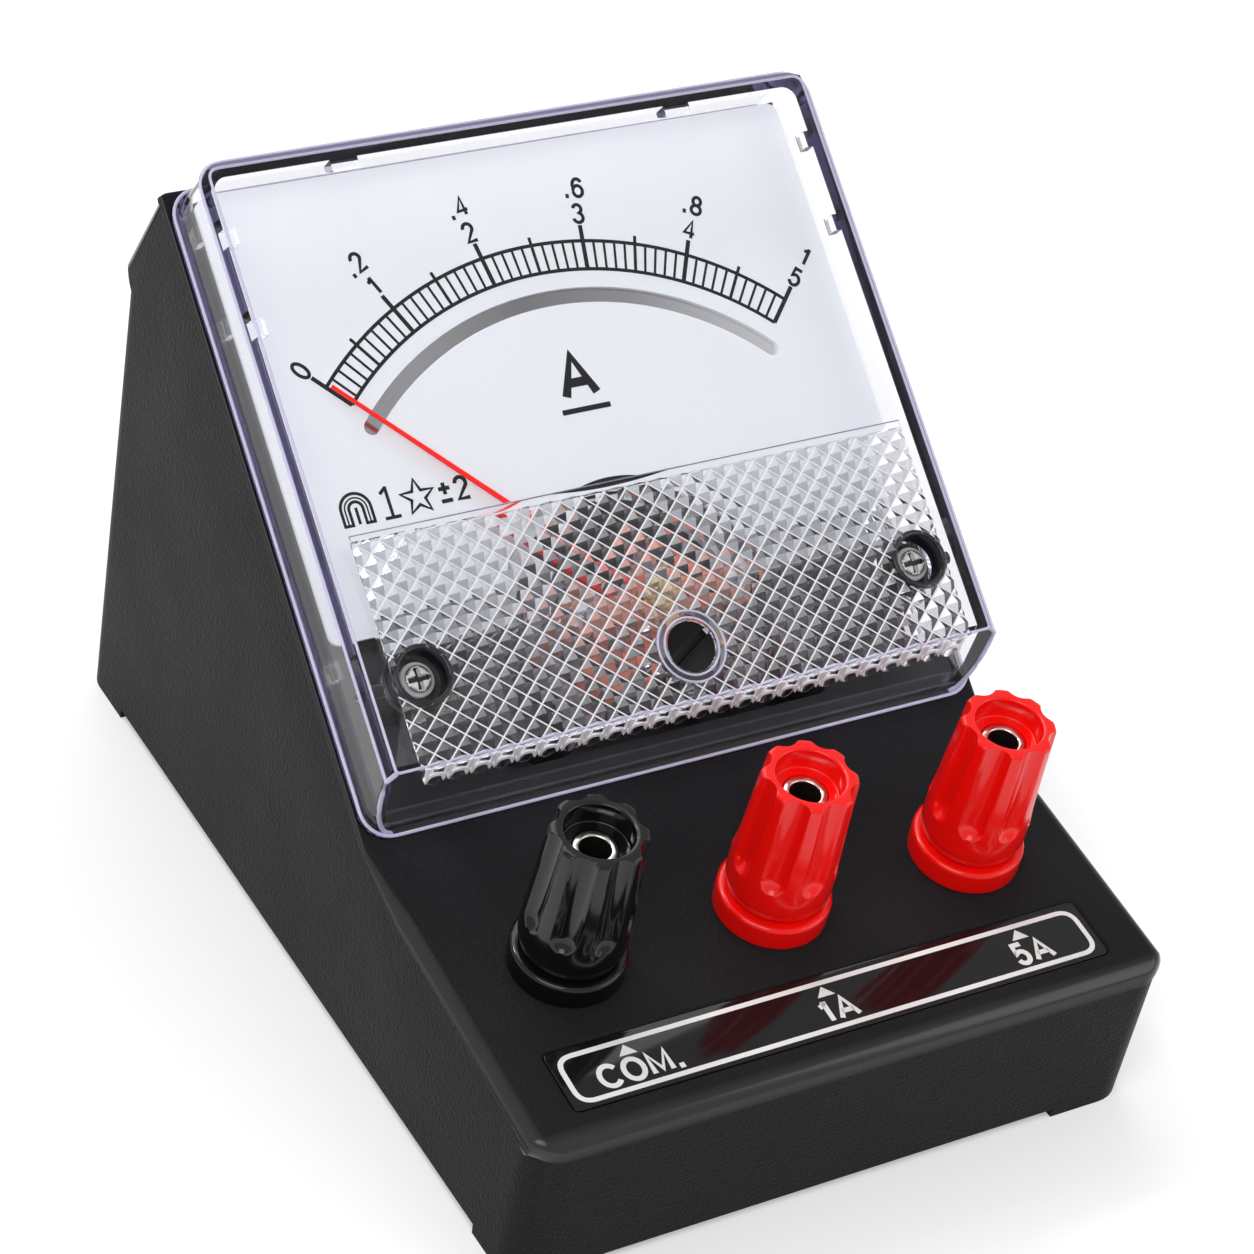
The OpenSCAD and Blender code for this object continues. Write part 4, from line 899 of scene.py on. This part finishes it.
def mirror_finish(name, stops):
    """Silvered strip with a painted reflection: a ramp of tones across the meter for the room that a mirror
    shows.

    Each stop is a place in millimetres from the middle and the tone there.
    """
    material, principled, nodes, links = shader(name, (0.5, 0.5, 0.5), 0.18, 1.0)
    kinds = ("TexCoord", "SeparateXYZ", "MapRange", "ValToRGB")
    place, parts, span, ramp = (nodes.new("ShaderNode" + kind) for kind in kinds)
    first, last = stops[0][0], stops[-1][0]
    span.inputs["From Min"].default_value = first * MM
    span.inputs["From Max"].default_value = last * MM
    links.new(place.outputs["Object"], parts.inputs[0])
    links.new(parts.outputs["X"], span.inputs["Value"])
    links.new(span.outputs["Result"], ramp.inputs["Fac"])
    while len(ramp.color_ramp.elements) < len(stops):
        ramp.color_ramp.elements.new(0.5)
    for element, (x, colour) in zip(ramp.color_ramp.elements, stops):
        element.position = (x - first) / (last - first)
        element.color = (*colour, 1)
    links.new(ramp.outputs["Color"], principled.inputs["Base Color"])
    return material


FINISH = {}


# Settings a user would change

def millimetres(name, text, default):
    """A length on the real object."""
    return bpy.props.FloatProperty(name=name, description=text, default=default, subtype="DISTANCE_CAMERA")


def degrees(name, text, default):
    """An angle, given in degrees and kept in radians."""
    angle = math.radians(default)
    return bpy.props.FloatProperty(name=name, description=text, default=angle, subtype="ANGLE")


def swatch(name, text, default):
    """A colour."""
    return bpy.props.FloatVectorProperty(
        name=name, description=text, default=default, subtype="COLOR", size=3)


class AmmeterSizes(bpy.types.PropertyGroup):
    """Sizes of the case, the cover, the terminals and the printed marks."""
    scale_radius: millimetres("Scale radius", "Outer radius of the scale", 51.4)
    scale_inner: millimetres("Scale inner radius", "Inner radius of the scale", 47.3)
    scale_half: degrees("Half sweep", "Half the scale's sweep", 43.6)
    digit_stroke: millimetres("Digit stroke", "Stroke of the numbers", 0.5)
    digit_height: millimetres("Digit height", "Height of the numbers", 3.1)
    inner_numbers: millimetres("Inner numbers", "Radius of the inner row of numbers", 55.4)
    cap_foot: millimetres("Cap foot", "Height of a cap's foot above its collar", 0.45)
    cap_top: millimetres("Cap top", "Height of a cap's top above its collar", 21.1)
    collar_top: millimetres("Collar top", "Height of a collar's top at its joint", 0.0)
    band_low: millimetres("Band foot", "Lower edge of the prism band above the pivot", -16.3)
    band_high: millimetres("Band head", "Upper edge of the prism band above the pivot", 14.3)
    band_across: millimetres("Band half width", "Half the width of the prism band", 42.2)
    cover_front: millimetres("Cover front", "Height of the cover's front over the dial", 7.6)
    cover_plate: millimetres("Cover plate", "Thickness of the cover's front", 2.2)
    prism_pitch: millimetres("Prism pitch", "Distance between prisms across", 3.3)
    prism_rise: millimetres("Prism rise", "Distance between prisms up the cover", 3.0)
    prism_slope: bpy.props.FloatProperty(
        name="Prism slope", description="Rise over run beside a valley", default=0.765)
    prism_fillet: millimetres("Prism fillet", "Width of the fillets between the prisms", 0.23)
    rib_count: bpy.props.IntProperty(name="Ribs", description="Ribs under the prism band", default=25)
    rib_pitch: millimetres("Rib pitch", "Distance between the ribs", 3.3)
    rib_length: millimetres("Rib length", "Length of a rib down the wall", 4.1)
    rib_width: millimetres("Rib width", "Width of a rib", 2.6)
    rib_height: millimetres("Rib height", "Height of a rib over the wall", 0.6)
    rib_edge: millimetres("Rib edge", "Width of a rib's bright edge", 0.5)
    rib_slant: millimetres("Wall slant", "Run of the slanted wall over its height", 5.45)
    cover_height: millimetres("Cover height", "Height of the slanted wall", 12.5)
    cover_corner: millimetres("Cover corner", "Corner radius of the cover", 4.0)
    boss_bore: millimetres("Boss bore", "Radius of the boss's inner edge", 3.95)
    boss_radius: millimetres("Boss radius", "Radius of the boss's outer edge", 4.9)
    cover_across: millimetres("Cover half width", "Half the width of the cover's box", 46.55)
    cover_low: millimetres("Cover foot", "Lower edge of the cover's front above the pivot", -15.9)
    cover_high: millimetres("Cover head", "Upper wall of the cover above the pivot", 68.15)
    cover_bevel: millimetres("Cover bevel", "Bevel of the cover's front edges", 1.2)
    cover_length: millimetres("Cover length", "Length of the cover's flange", 90.4)
    cover_middle: millimetres("Cover middle", "Middle of the flange above the pivot", 23.4)
    flange_top: millimetres("Flange top", "Upper face of the flange over the dial", -3.7)
    case_width: millimetres("Case width", "Width of the case", 95.4)
    case_depth: millimetres("Case depth", "Depth of the case at its widest", 139.0)
    case_wall: millimetres("Case wall", "Thickness of the case's wall at its foot", 2.5)
    case_edge: millimetres("Case edge", "Rounding of the case's side edges", 1.8)
    case_corner: millimetres("Case corner", "Radius of the case's upright corners", 5.0)
    front_in: millimetres("Front lean", "How far the front's foot is set in", 2.2)
    head_bend: millimetres("Head bend", "Radius at the panel's head", 0.45)
    panel_rim: millimetres("Panel rim", "Rounding of the panel's side edges", 0.5)
    front_bend: millimetres("Front bend", "Radius between the front and the deck", 3.0)
    deck_height: millimetres("Deck height", "Height of the deck's front edge", 25.0)
    deck_depth: millimetres("Deck depth", "Depth of the deck up to the sill", 39.6)
    deck_slope: degrees("Deck slope", "Slope of the deck", 8.2)
    sill_depth: millimetres("Sill depth", "Depth of the sill under the meter", 11.0)
    sill_slope: degrees("Sill slope", "Slope of the sill", 14.0)
    panel_slope: degrees("Panel slope", "Slope of the meter's panel", 38.3)
    panel_length: millimetres("Panel length", "Length of the panel up its slope", 91.8)
    shoulder_height: millimetres("Shoulder height", "Height of the rear shoulder", 73.0)
    shoulder_in: millimetres("Shoulder in", "How far the shoulder is set in", 5.7)
    shoulder_bend: millimetres("Shoulder bend", "Radius of the rear shoulder", 8.0)
    rim_height: millimetres("Rim height", "Height of the foot's inner wall", 9.0)
    pad_height: millimetres("Pad height", "Height of the corner pads", 1.5)
    pad_length: millimetres("Pad length", "Length of the corner pads", 13.0)
    pocket_depth: millimetres("Pocket depth", "Depth of the pocket's wall", 2.2)
    pocket_corner: millimetres("Pocket corner", "Corner radius of the pocket", 4.1)
    pocket_across: millimetres("Pocket width", "Half the width of the meter's pocket", 47.1)
    pocket_along: millimetres("Pocket length", "Half the length of the meter's pocket", 45.3)
    label_depth: millimetres("Recess depth", "Depth of the label's recess", 0.85)
    label_corner: millimetres("Recess corner", "Corner radius of the recess", 1.1)
    label_across: millimetres("Recess width", "Half the width of the label's recess", 40.4)
    label_along: millimetres("Recess length", "Half the length of the label's recess", 4.9)
    label_middle: millimetres("Recess place", "Middle of the recess from the front edge", 9.6)
    well_across: millimetres("Well across", "Distance of a screw well from the middle", 37.9)
    well_up: millimetres("Well up", "Place of the screw wells above the pivot", -4.4)
    well_radius: millimetres("Well radius", "Radius of a screw well", 3.55)
    # Painted shade: radius of the dark arch printed over the pivot
    arch_radius: millimetres("Arch radius", "Radius of the dark arch over the pivot", 17.6)
    outer_numbers: millimetres("Outer numbers", "Radius of the outer row of numbers", 59.2)


class AmmeterColours(bpy.types.PropertyGroup):
    """Colours of the main finishes."""
    case: swatch("Case", "Moulded case", (0.0175, 0.0172, 0.0188))
    red: swatch("Red", "Red terminals", (0.97, 0.005, 0.003))
    dial: swatch("Dial", "Dial enamel", (0.705, 0.735, 0.75))
    needle: swatch("Pointer", "Pointer enamel", (0.95, 0.004, 0.002))
    floor: swatch("Floor", "Studio floor", (0.86, 0.86, 0.86))


# Pieces

# Finishes by key: the material's name, its colour, its roughness and, for plastics, what differs from plain
PLASTICS = {
    "tray": ("tray_black", (0.016, 0.016, 0.017), 0.2, {}),
    "label": ("label_gloss", (0.006, 0.006, 0.007), 0.1, {"spread": 0.06, "shine": 0.34}),
    "post_black": ("post_black", (0.004, 0.004, 0.0045), 0.12,
                   {"spread": 0.05, "coat_weight": 0.1, "shine": 0.4}),
    "adjuster": ("adjuster_black", (0.005, 0.005, 0.006), 0.3, {"spread": 0.06, "shine": 0.15}),
    "ink": ("dial_ink", (0.004, 0.004, 0.005), 0.6, {"spread": 0.05, "shine": 0.1}),
    "white_ink": ("label_ink", (0.88, 0.88, 0.87), 0.4, {"spread": 0.05, "drift": 0.02}),
    "screw": ("cover_screw", (0.84, 0.85, 0.87), 0.25, {"shine": 0.9}),
    "bronze": ("bridge_bronze", (0.55, 0.20, 0.13), 0.35, {}),
    "copper": ("enamelled_copper", (0.86, 0.21, 0.10), 0.3, {}),
    "wire": ("wire_blue", (0.03, 0.07, 0.30), 0.45, {}),
    # Painted shade: a dark indigo for the cover's right and upper bevels and its underside
    "clear_edge_painted_shade": ("clear_edge_painted_shade", (0.14, 0.125, 0.25), 0.08, {"spread": 0.04, "coat_weight": 0.3}),
    # Painted highlight: opaque white for the lines along the prism valleys and the rib edges
    "prism_line": ("prism_line", (0.90, 0.90, 0.93), 0.12,
                   {"spread": 0.05, "drift": 0.1, "coat_weight": 0.2}),
    # Painted shade: near black inside the studs' sockets and the screws' slots
    "bore": ("bore_painted_shade", (0.010, 0.008, 0.007), 0.3, {"spread": 0.05}),
    "well": ("well_shade", (0.012, 0.012, 0.016), 0.12, {"spread": 0.05}),
}
METALS = {
    "steel": ("screw_steel", (0.70, 0.71, 0.73), 0.22),
    "nickel": ("nickel_plate", (0.76, 0.74, 0.70), 0.16),
    "iron": ("soft_iron", (0.42, 0.42, 0.44), 0.4),
    "magnet": ("cast_magnet", (0.18, 0.18, 0.19), 0.55),
    "brass": ("bright_brass", (0.78, 0.58, 0.26), 0.25),
    "spring": ("spring_bronze", (0.66, 0.40, 0.18), 0.25),
    "alloy": ("shunt_alloy", (0.58, 0.40, 0.26), 0.35),
    "former": ("former_alloy", (0.74, 0.75, 0.77), 0.3),
}
# Clear finishes by key: name, tint, bend of light, share let through and roughness
CLEARS = {
    "clear": ("clear_polystyrene", (0.978, 0.975, 0.996), 1.3, 1.0, 0.0),
    # Painted light: a lilac, half-milky tint for the beads along the cover's rounded edges
    "bead": ("clear_bead_painted_light", (0.80, 0.78, 0.95), 1.49, 0.45, 0.08),
    "prism": ("clear_prism", (0.99, 0.99, 0.995), 1.49, 1.0, 0.0),
    # Painted light and shade: lit and shaded copies of the clear prism, given to the facets by the way they
    # face
    "prism_up_left_painted_highlight": ("prism_up_left_painted_highlight", (0.97, 0.97, 0.99), 1.49, 0.87, 0.03),
    "prism_up_right_painted_shade": ("prism_up_right_painted_shade", (0.86, 0.86, 0.89), 1.49, 1.0, 0.0),
    "prism_low_left_painted_shade": ("prism_low_left_painted_shade", (0.46, 0.46, 0.50), 1.49, 1.0, 0.0),
    "prism_low_right_painted_shade": ("prism_low_right_painted_shade", (0.90, 0.90, 0.93), 1.49, 0.96, 0.0),
}
# Painted reflection: tones along the mirror, each at a place in millimetres from the middle
MIRROR_REFLECTION_STOPS = (
    (-37, (0.52, 0.43, 0.32)), (-34, (0.46, 0.46, 0.46)), (-22, (0.48, 0.48, 0.48)), (-4, (0.30, 0.30, 0.31)),
    (12, (0.42, 0.42, 0.43)), (26, (0.74, 0.74, 0.74)), (36, (0.92, 0.92, 0.90)))


class AMMETER_OT_finishes(bpy.types.Operator):
    """Makes the materials that the pieces share"""
    bl_idname = "ammeter.finishes"
    bl_label = "Finishes"

    def execute(self, context):
        tint = context.scene.ammeter_colours
        FINISH["case"] = plastic("case_black", tint.case, 0.40, grain=0.6, spread=0.16, shine=0.035)
        polished_edges(FINISH["case"])
        FINISH["post_red"] = plastic("post_red", tint.red, 0.16, spread=0.05, coat_weight=0.1, drift=0.03,
                                     shine=0.4)
        FINISH["dial"] = plastic("dial_white", tint.dial, 0.45, spread=0.05, drift=0.01)
        FINISH["needle"] = plastic("pointer_red", tint.needle, 0.35, spread=0.05, drift=0.03, shine=0.1)
        # The mirror strip gets a painted reflection
        FINISH["mirror"] = mirror_finish("mirror_silver_painted_reflection", MIRROR_REFLECTION_STOPS)
        for key, (name, colour, roughness, differs) in PLASTICS.items():
            FINISH[key] = plastic(name, colour, roughness, **differs)
        for key, values in METALS.items():
            FINISH[key] = metal(*values)
        for key, values in CLEARS.items():
            FINISH[key] = clear_plastic(*values)
        return {"FINISHED"}


class AMMETER_OT_case(bpy.types.Operator):
    """Makes the case's outside and finishes its bottom, the meter's tray and the label's strip"""
    bl_idname = "ammeter.case"
    bl_label = "Case"

    def execute(self, context):
        size = context.scene.ammeter_sizes
        housing_skin(size, FINISH["case"])
        coat(FINISH["case"], "bottom_cover", "terminal_insulators")
        coat(FINISH["steel"], "bottom_screws")
        softened("label_plate", FINISH["label"], bevel=0.15)
        coat(FINISH["tray"], "meter_base")
        return {"FINISHED"}


# Nodes of the movement under the finish that they get
MOVEMENT = {
    "dial": ("dial_plate",),
    "mirror": ("mirror_strip",),
    "needle": ("pointer",),
    "magnet": ("magnet",),
    "iron": ("pole_shoes", "iron_core"),
    "bronze": ("core_bracket", "front_bridge", "rear_bridge"),
    "brass": ("jewel_screws", "zero_lever", "balance_weights", "solder_tags"),
    "steel": ("bridge_screws", "pivot_staff"),
    "spring": ("front_hairspring", "rear_hairspring"),
    "former": ("coil_former",),
    "copper": ("coil_winding",),
    "alloy": ("shunt_low", "shunt_high"),
    "wire": ("lead_wires",),
}


class AMMETER_OT_movement(bpy.types.Operator):
    """Finishes the moving-coil movement, the dial's plate and the leads"""
    bl_idname = "ammeter.movement"
    bl_label = "Movement"

    def execute(self, context):
        for finish, nodes in MOVEMENT.items():
            coat(FINISH[finish], *nodes)
        softened("zero_adjuster", FINISH["adjuster"], 0.15, "zero_adjuster")
        return {"FINISHED"}


class AMMETER_OT_cover(bpy.types.Operator):
    """Finishes the clear cover and its screws"""
    bl_idname = "ammeter.cover"
    bl_label = "Cover"

    def execute(self, context):
        size = context.scene.ammeter_sizes
        for made in (cover_skin, band_ribs, rib_edges, prism_valleys, cover_beads, well_rims):
            made(size)

        # Painted shade: the faces down in each screw's slot get the dark bore finish
        def in_slot(centre, normal):
            across, up, out = measured(centre, DIAL).T
            near = np.hypot(np.abs(across) - size.well_across, up - size.well_up)
            deep = (out < out.max() - 0.3) & (out > out.max() - 1.6)
            return (near < 1.9) & deep & (normal @ DIAL[1][2] > -0.5)

        screws = softened("cover_screws", FINISH["screw"], bevel=0.12)
        darkened(screws, FINISH["bore"], in_slot)
        return {"FINISHED"}


class AMMETER_OT_dial_print(bpy.types.Operator):
    """Prints the scale, its numbers and the meter's signs on the dial, and paints a dark arch of shade over
    the pivot
    """
    bl_idname = "ammeter.dial_print"
    bl_label = "Dial print"

    def execute(self, context):
        size = context.scene.ammeter_sizes
        half, outer, inner = math.degrees(size.scale_half), size.scale_radius, size.scale_inner
        parts = [bar(arc(radius, -half, half, 121), 0.5, *DIAL_INK) for radius in (outer, inner)]
        # Reach past the scale and width of the long, the middle and the short marks
        marks = {10: (2.3, 0.62), 5: (1.2, 0.46), 1: (0, 0.36)}
        for k in range(51):
            angle = -half + 2 * half * k / 50
            past, width = marks[10 if k % 10 == 0 else 5 if k % 5 == 0 else 1]
            parts.append(bar(arc(1, angle, angle, 2) * [[inner], [outer + past]], width, *DIAL_INK))
        tall, stroke = size.digit_height, size.digit_stroke
        for k in range(6):
            angle = -half + 2 * half * k / 5
            words = [(str(k), size.inner_numbers)]
            if k:
                words.append((".%d" % (2 * k) if k < 5 else "1", size.outer_numbers))
            for word, radius in words:
                spot = arc(radius, angle, angle, 1)[0]
                for path, closed in lettering(word, tall, stroke):
                    parts.append(bar(turned(path - [0, tall / 2], angle, spot), stroke, *DIAL_INK, closed))
        for path, closed in lettering("A", 7.0, 1.3):
            parts.append(bar(path + [0.3, 28.9], 1.3, *DIAL_INK, closed))
        parts.append(bar([[-3.4, 27.5], [4.0, 27.5]], 0.75, *DIAL_INK))
        # Painted shade: a dark arch over the pivot, for the dark opening of the dial's cut-out
        parts.append(raised(arc(size.arch_radius, -40, 40, 41)[::-1], *DIAL_INK))
        parts += meter_signs()
        verts, faces = joined(parts)
        new_piece("dial_print", placed(verts, DIAL), faces, FINISH["ink"], slot="dial_white")
        return {"FINISHED"}


class AMMETER_OT_terminals(bpy.types.Operator):
    """Finishes the studs, collars, washers and caps of the terminals"""
    bl_idname = "ammeter.terminals"
    bl_label = "Terminals"

    def execute(self, context):
        size = context.scene.ammeter_sizes
        coat(FINISH["nickel"], "terminal_nuts", "washer_common", "washer_low", "washer_high")
        studs = softened("terminal_studs", FINISH["nickel"], bevel=0.25)

        # Painted shade: the inside of each stud's socket gets the dark bore finish
        def in_bore(centre, normal):
            picked = np.zeros(len(centre), bool)
            for post in POSTS.values():
                x, y = measured(centre, post).T[:2]
                nx, ny, nz = (normal @ post[1].T).T
                picked |= (np.hypot(x, y) < 2.3) & (x * nx + y * ny < -0.3) & (np.abs(nz) < 0.3)
            return picked

        darkened(studs, FINISH["bore"], in_bore)
        for name, finish, phase in (("common", "post_black", 236.0), ("low", "post_red", 213.5),
                                    ("high", "post_red", 236.0)):
            verts, faces = fluted_cap(size, phase)
            cap = new_piece("cap_%s_skin" % name, placed(verts, POSTS[name]), faces, FINISH[finish],
                            "cap_" + name, finish, True)
            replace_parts(cap, "cap_" + name)
        verts, faces = collar_ring(size)
        for piece, posts, finish in (("collar_common", ("common",), "post_black"),
                                     ("collars_red", ("low", "high"), "post_red")):
            rings = joined([(placed(verts, POSTS[name]), faces) for name in posts])
            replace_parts(new_piece(piece + "_skin", *rings, FINISH[finish], "case", finish, True), piece)
        return {"FINISHED"}


class AMMETER_OT_label_print(bpy.types.Operator):
    """Prints the frame, the arrows and the terminals' ranges on the label"""
    bl_idname = "ammeter.label_print"
    bl_label = "Label print"

    def execute(self, context):
        middle, edge, stroke = -26.8, 39, 0.72
        ends = np.array([[-edge, 5.8], [edge, 5.8], [edge, 13.0], [-edge, 13.0]]) + [0, middle]
        parts = [bar(rounded_path(ends, [2.2] * 4, 9), 0.7, *LABEL_INK, closed=True)]
        for x, word in ((-29.7, "COM."), (-0.5, "1A"), (29.8, "5A")):
            arrow = np.array([[-1.3, 0], [1.3, 0], [0, 1.6]]) + [x, 10.8 + middle]
            parts.append(raised(arrow, *LABEL_INK))
            for path, closed in lettering(word, 3.9, stroke, 0.32):
                parts.append(bar(path + [x + 0.4, 6.55 + middle], stroke, *LABEL_INK, closed))
        verts, faces = joined(parts)
        new_piece("label_print", placed(verts, POSTS["low"]), faces, FINISH["white_ink"], slot="label_gloss")
        return {"FINISHED"}


def seen_level(nodes, links, rise, base):
    """A strength: a base value, raised where the camera sees it directly, in gloss or through the cover.

    Rays that have left a matt surface keep the base value, so the light on what is behind isn't raised.
    """
    path = nodes.new("ShaderNodeLightPath")
    level = path.outputs["Is Camera Ray"]
    for kind in ("Is Glossy Ray", "Is Transmission Ray"):
        either = nodes.new("ShaderNodeMath")
        either.operation = "MAXIMUM"
        links.new(level, either.inputs[0])
        links.new(path.outputs[kind], either.inputs[1])
        level = either.outputs[0]
    first, direct, scale = (nodes.new("ShaderNodeMath") for _ in range(3))
    first.operation, direct.operation, scale.operation = "LESS_THAN", "MULTIPLY", "MULTIPLY_ADD"
    links.new(path.outputs["Diffuse Depth"], first.inputs[0])
    links.new(level, direct.inputs[0])
    links.new(first.outputs[0], direct.inputs[1])
    links.new(direct.outputs[0], scale.inputs[0])
    scale.inputs[1].default_value, scale.inputs[2].default_value = rise, base
    return scale.outputs[0]


def aimed(thing, right, up, back, place):
    """Puts a lamp or a camera at a place, its own axes along three directions."""
    columns = np.column_stack([right, up, back, place])
    thing.matrix_world = Matrix(np.vstack([columns, [0, 0, 0, 1]]).tolist())


# Lamps: name, place and aim in metres, side in metres and power in watts
LAMPS = (
    ("key_lamp", (-0.65, -0.6, 1.0), (0, 0, 0.04), 0.8, 5.8),
    ("top_lamp", (0.1, 0.9, 1.2), (0, 0, 0.04), 1.0, 5.6),
    ("fill_lamp", (1.0, -0.8, 0.7), (0, 0, 0.04), 0.9, 3.2),
    ("edge_lamp", (-0.35, 0.7, 1.1), (0, -0.05, 0.03), 0.15, 2.2),
)


class AMMETER_OT_stage(bpy.types.Operator):
    """Sets the floor, the soft lamps, the world and the camera"""
    bl_idname = "ammeter.stage"
    bl_label = "Stage"

    def execute(self, context):
        scene = context.scene
        scene.view_settings.view_transform = "Standard"
        tint = scene.ammeter_colours
        mesh = bpy.data.meshes.new("studio_floor")
        mesh.from_pydata([(-4, -4, 0), (4, -4, 0), (4, 4, 0), (-4, 4, 0)], [], [(0, 1, 2, 3)])
        floor = bpy.data.objects.new("studio_floor", mesh)
        scene.collection.objects.link(floor)
        material, principled, nodes, links = shader("studio_floor", tint.floor, 0.9)
        principled.inputs["Specular IOR Level"].default_value = 0.0
        principled.inputs["Emission Color"].default_value = (1, 1, 1, 1)
        links.new(seen_level(nodes, links, 0.3, 0.0), principled.inputs["Emission Strength"])
        mesh.materials.append(material)

        world = bpy.data.worlds.new("studio_world")
        world.use_nodes = True
        nodes, links = world.node_tree.nodes, world.node_tree.links
        nodes["Background"].inputs["Color"].default_value = (1, 1, 1, 1)
        links.new(seen_level(nodes, links, 0.15, 0.45), nodes["Background"].inputs["Strength"])
        scene.world = world

        for name, place, aim, side, power in LAMPS:
            light = bpy.data.lights.new(name, "AREA")
            light.shape, light.size, light.energy = "SQUARE", side, power
            holder = bpy.data.objects.new(name, light)
            scene.collection.objects.link(holder)
            back = np.array(place, float) - np.array(aim, float)
            back /= np.linalg.norm(back)
            right = np.cross([0, 0.001, 1], back)
            right /= np.linalg.norm(right)
            aimed(holder, right, np.cross(back, right), back, place)

        # Directions and place of the camera that was fitted to the photo
        right = np.array([0.8666667, -0.4844437, 0.1191772])
        down = np.array([-0.2027319, -0.5602612, -0.8031233])
        ahead = np.array([0.4558384, 0.6718792, -0.5837719])
        place = np.array([-0.2301101, -0.3399728, 0.3392061])
        lens = bpy.data.cameras.new("photo_camera")
        lens.sensor_width = 36
        lens.lens = 107.0
        lens.clip_start = 0.01
        camera = bpy.data.objects.new("photo_camera", lens)
        scene.collection.objects.link(camera)
        aimed(camera, right, -down, -ahead, place)
        scene.camera = camera
        return {"FINISHED"}


class AMMETER_PT_panel(bpy.types.Panel):
    """Lists the ammeter's pieces"""
    bl_idname = "AMMETER_PT_panel"
    bl_label = "Bench ammeter"
    bl_space_type = "VIEW_3D"
    bl_region_type = "UI"
    bl_category = "Ammeter"

    def draw(self, context):
        for operator in OPERATORS:
            self.layout.operator(operator.bl_idname)
        for group in (context.scene.ammeter_sizes, context.scene.ammeter_colours):
            for name in group.__annotations__:
                self.layout.prop(group, name)


OPERATORS = (AMMETER_OT_finishes, AMMETER_OT_case, AMMETER_OT_movement, AMMETER_OT_cover,
             AMMETER_OT_dial_print, AMMETER_OT_label_print, AMMETER_OT_terminals, AMMETER_OT_stage)
CLASSES = (AmmeterSizes, AmmeterColours) + OPERATORS + (AMMETER_PT_panel,)


def register():
    for cls in CLASSES:
        bpy.utils.register_class(cls)
    bpy.types.Scene.ammeter_sizes = bpy.props.PointerProperty(type=AmmeterSizes)
    bpy.types.Scene.ammeter_colours = bpy.props.PointerProperty(type=AmmeterColours)


def unregister():
    del bpy.types.Scene.ammeter_colours
    del bpy.types.Scene.ammeter_sizes
    for cls in reversed(CLASSES):
        bpy.utils.unregister_class(cls)


def main():
    register()
    for operator in OPERATORS:
        group, name = operator.bl_idname.split(".")
        getattr(getattr(bpy.ops, group), name)()


if __name__ == "__main__":
    main()
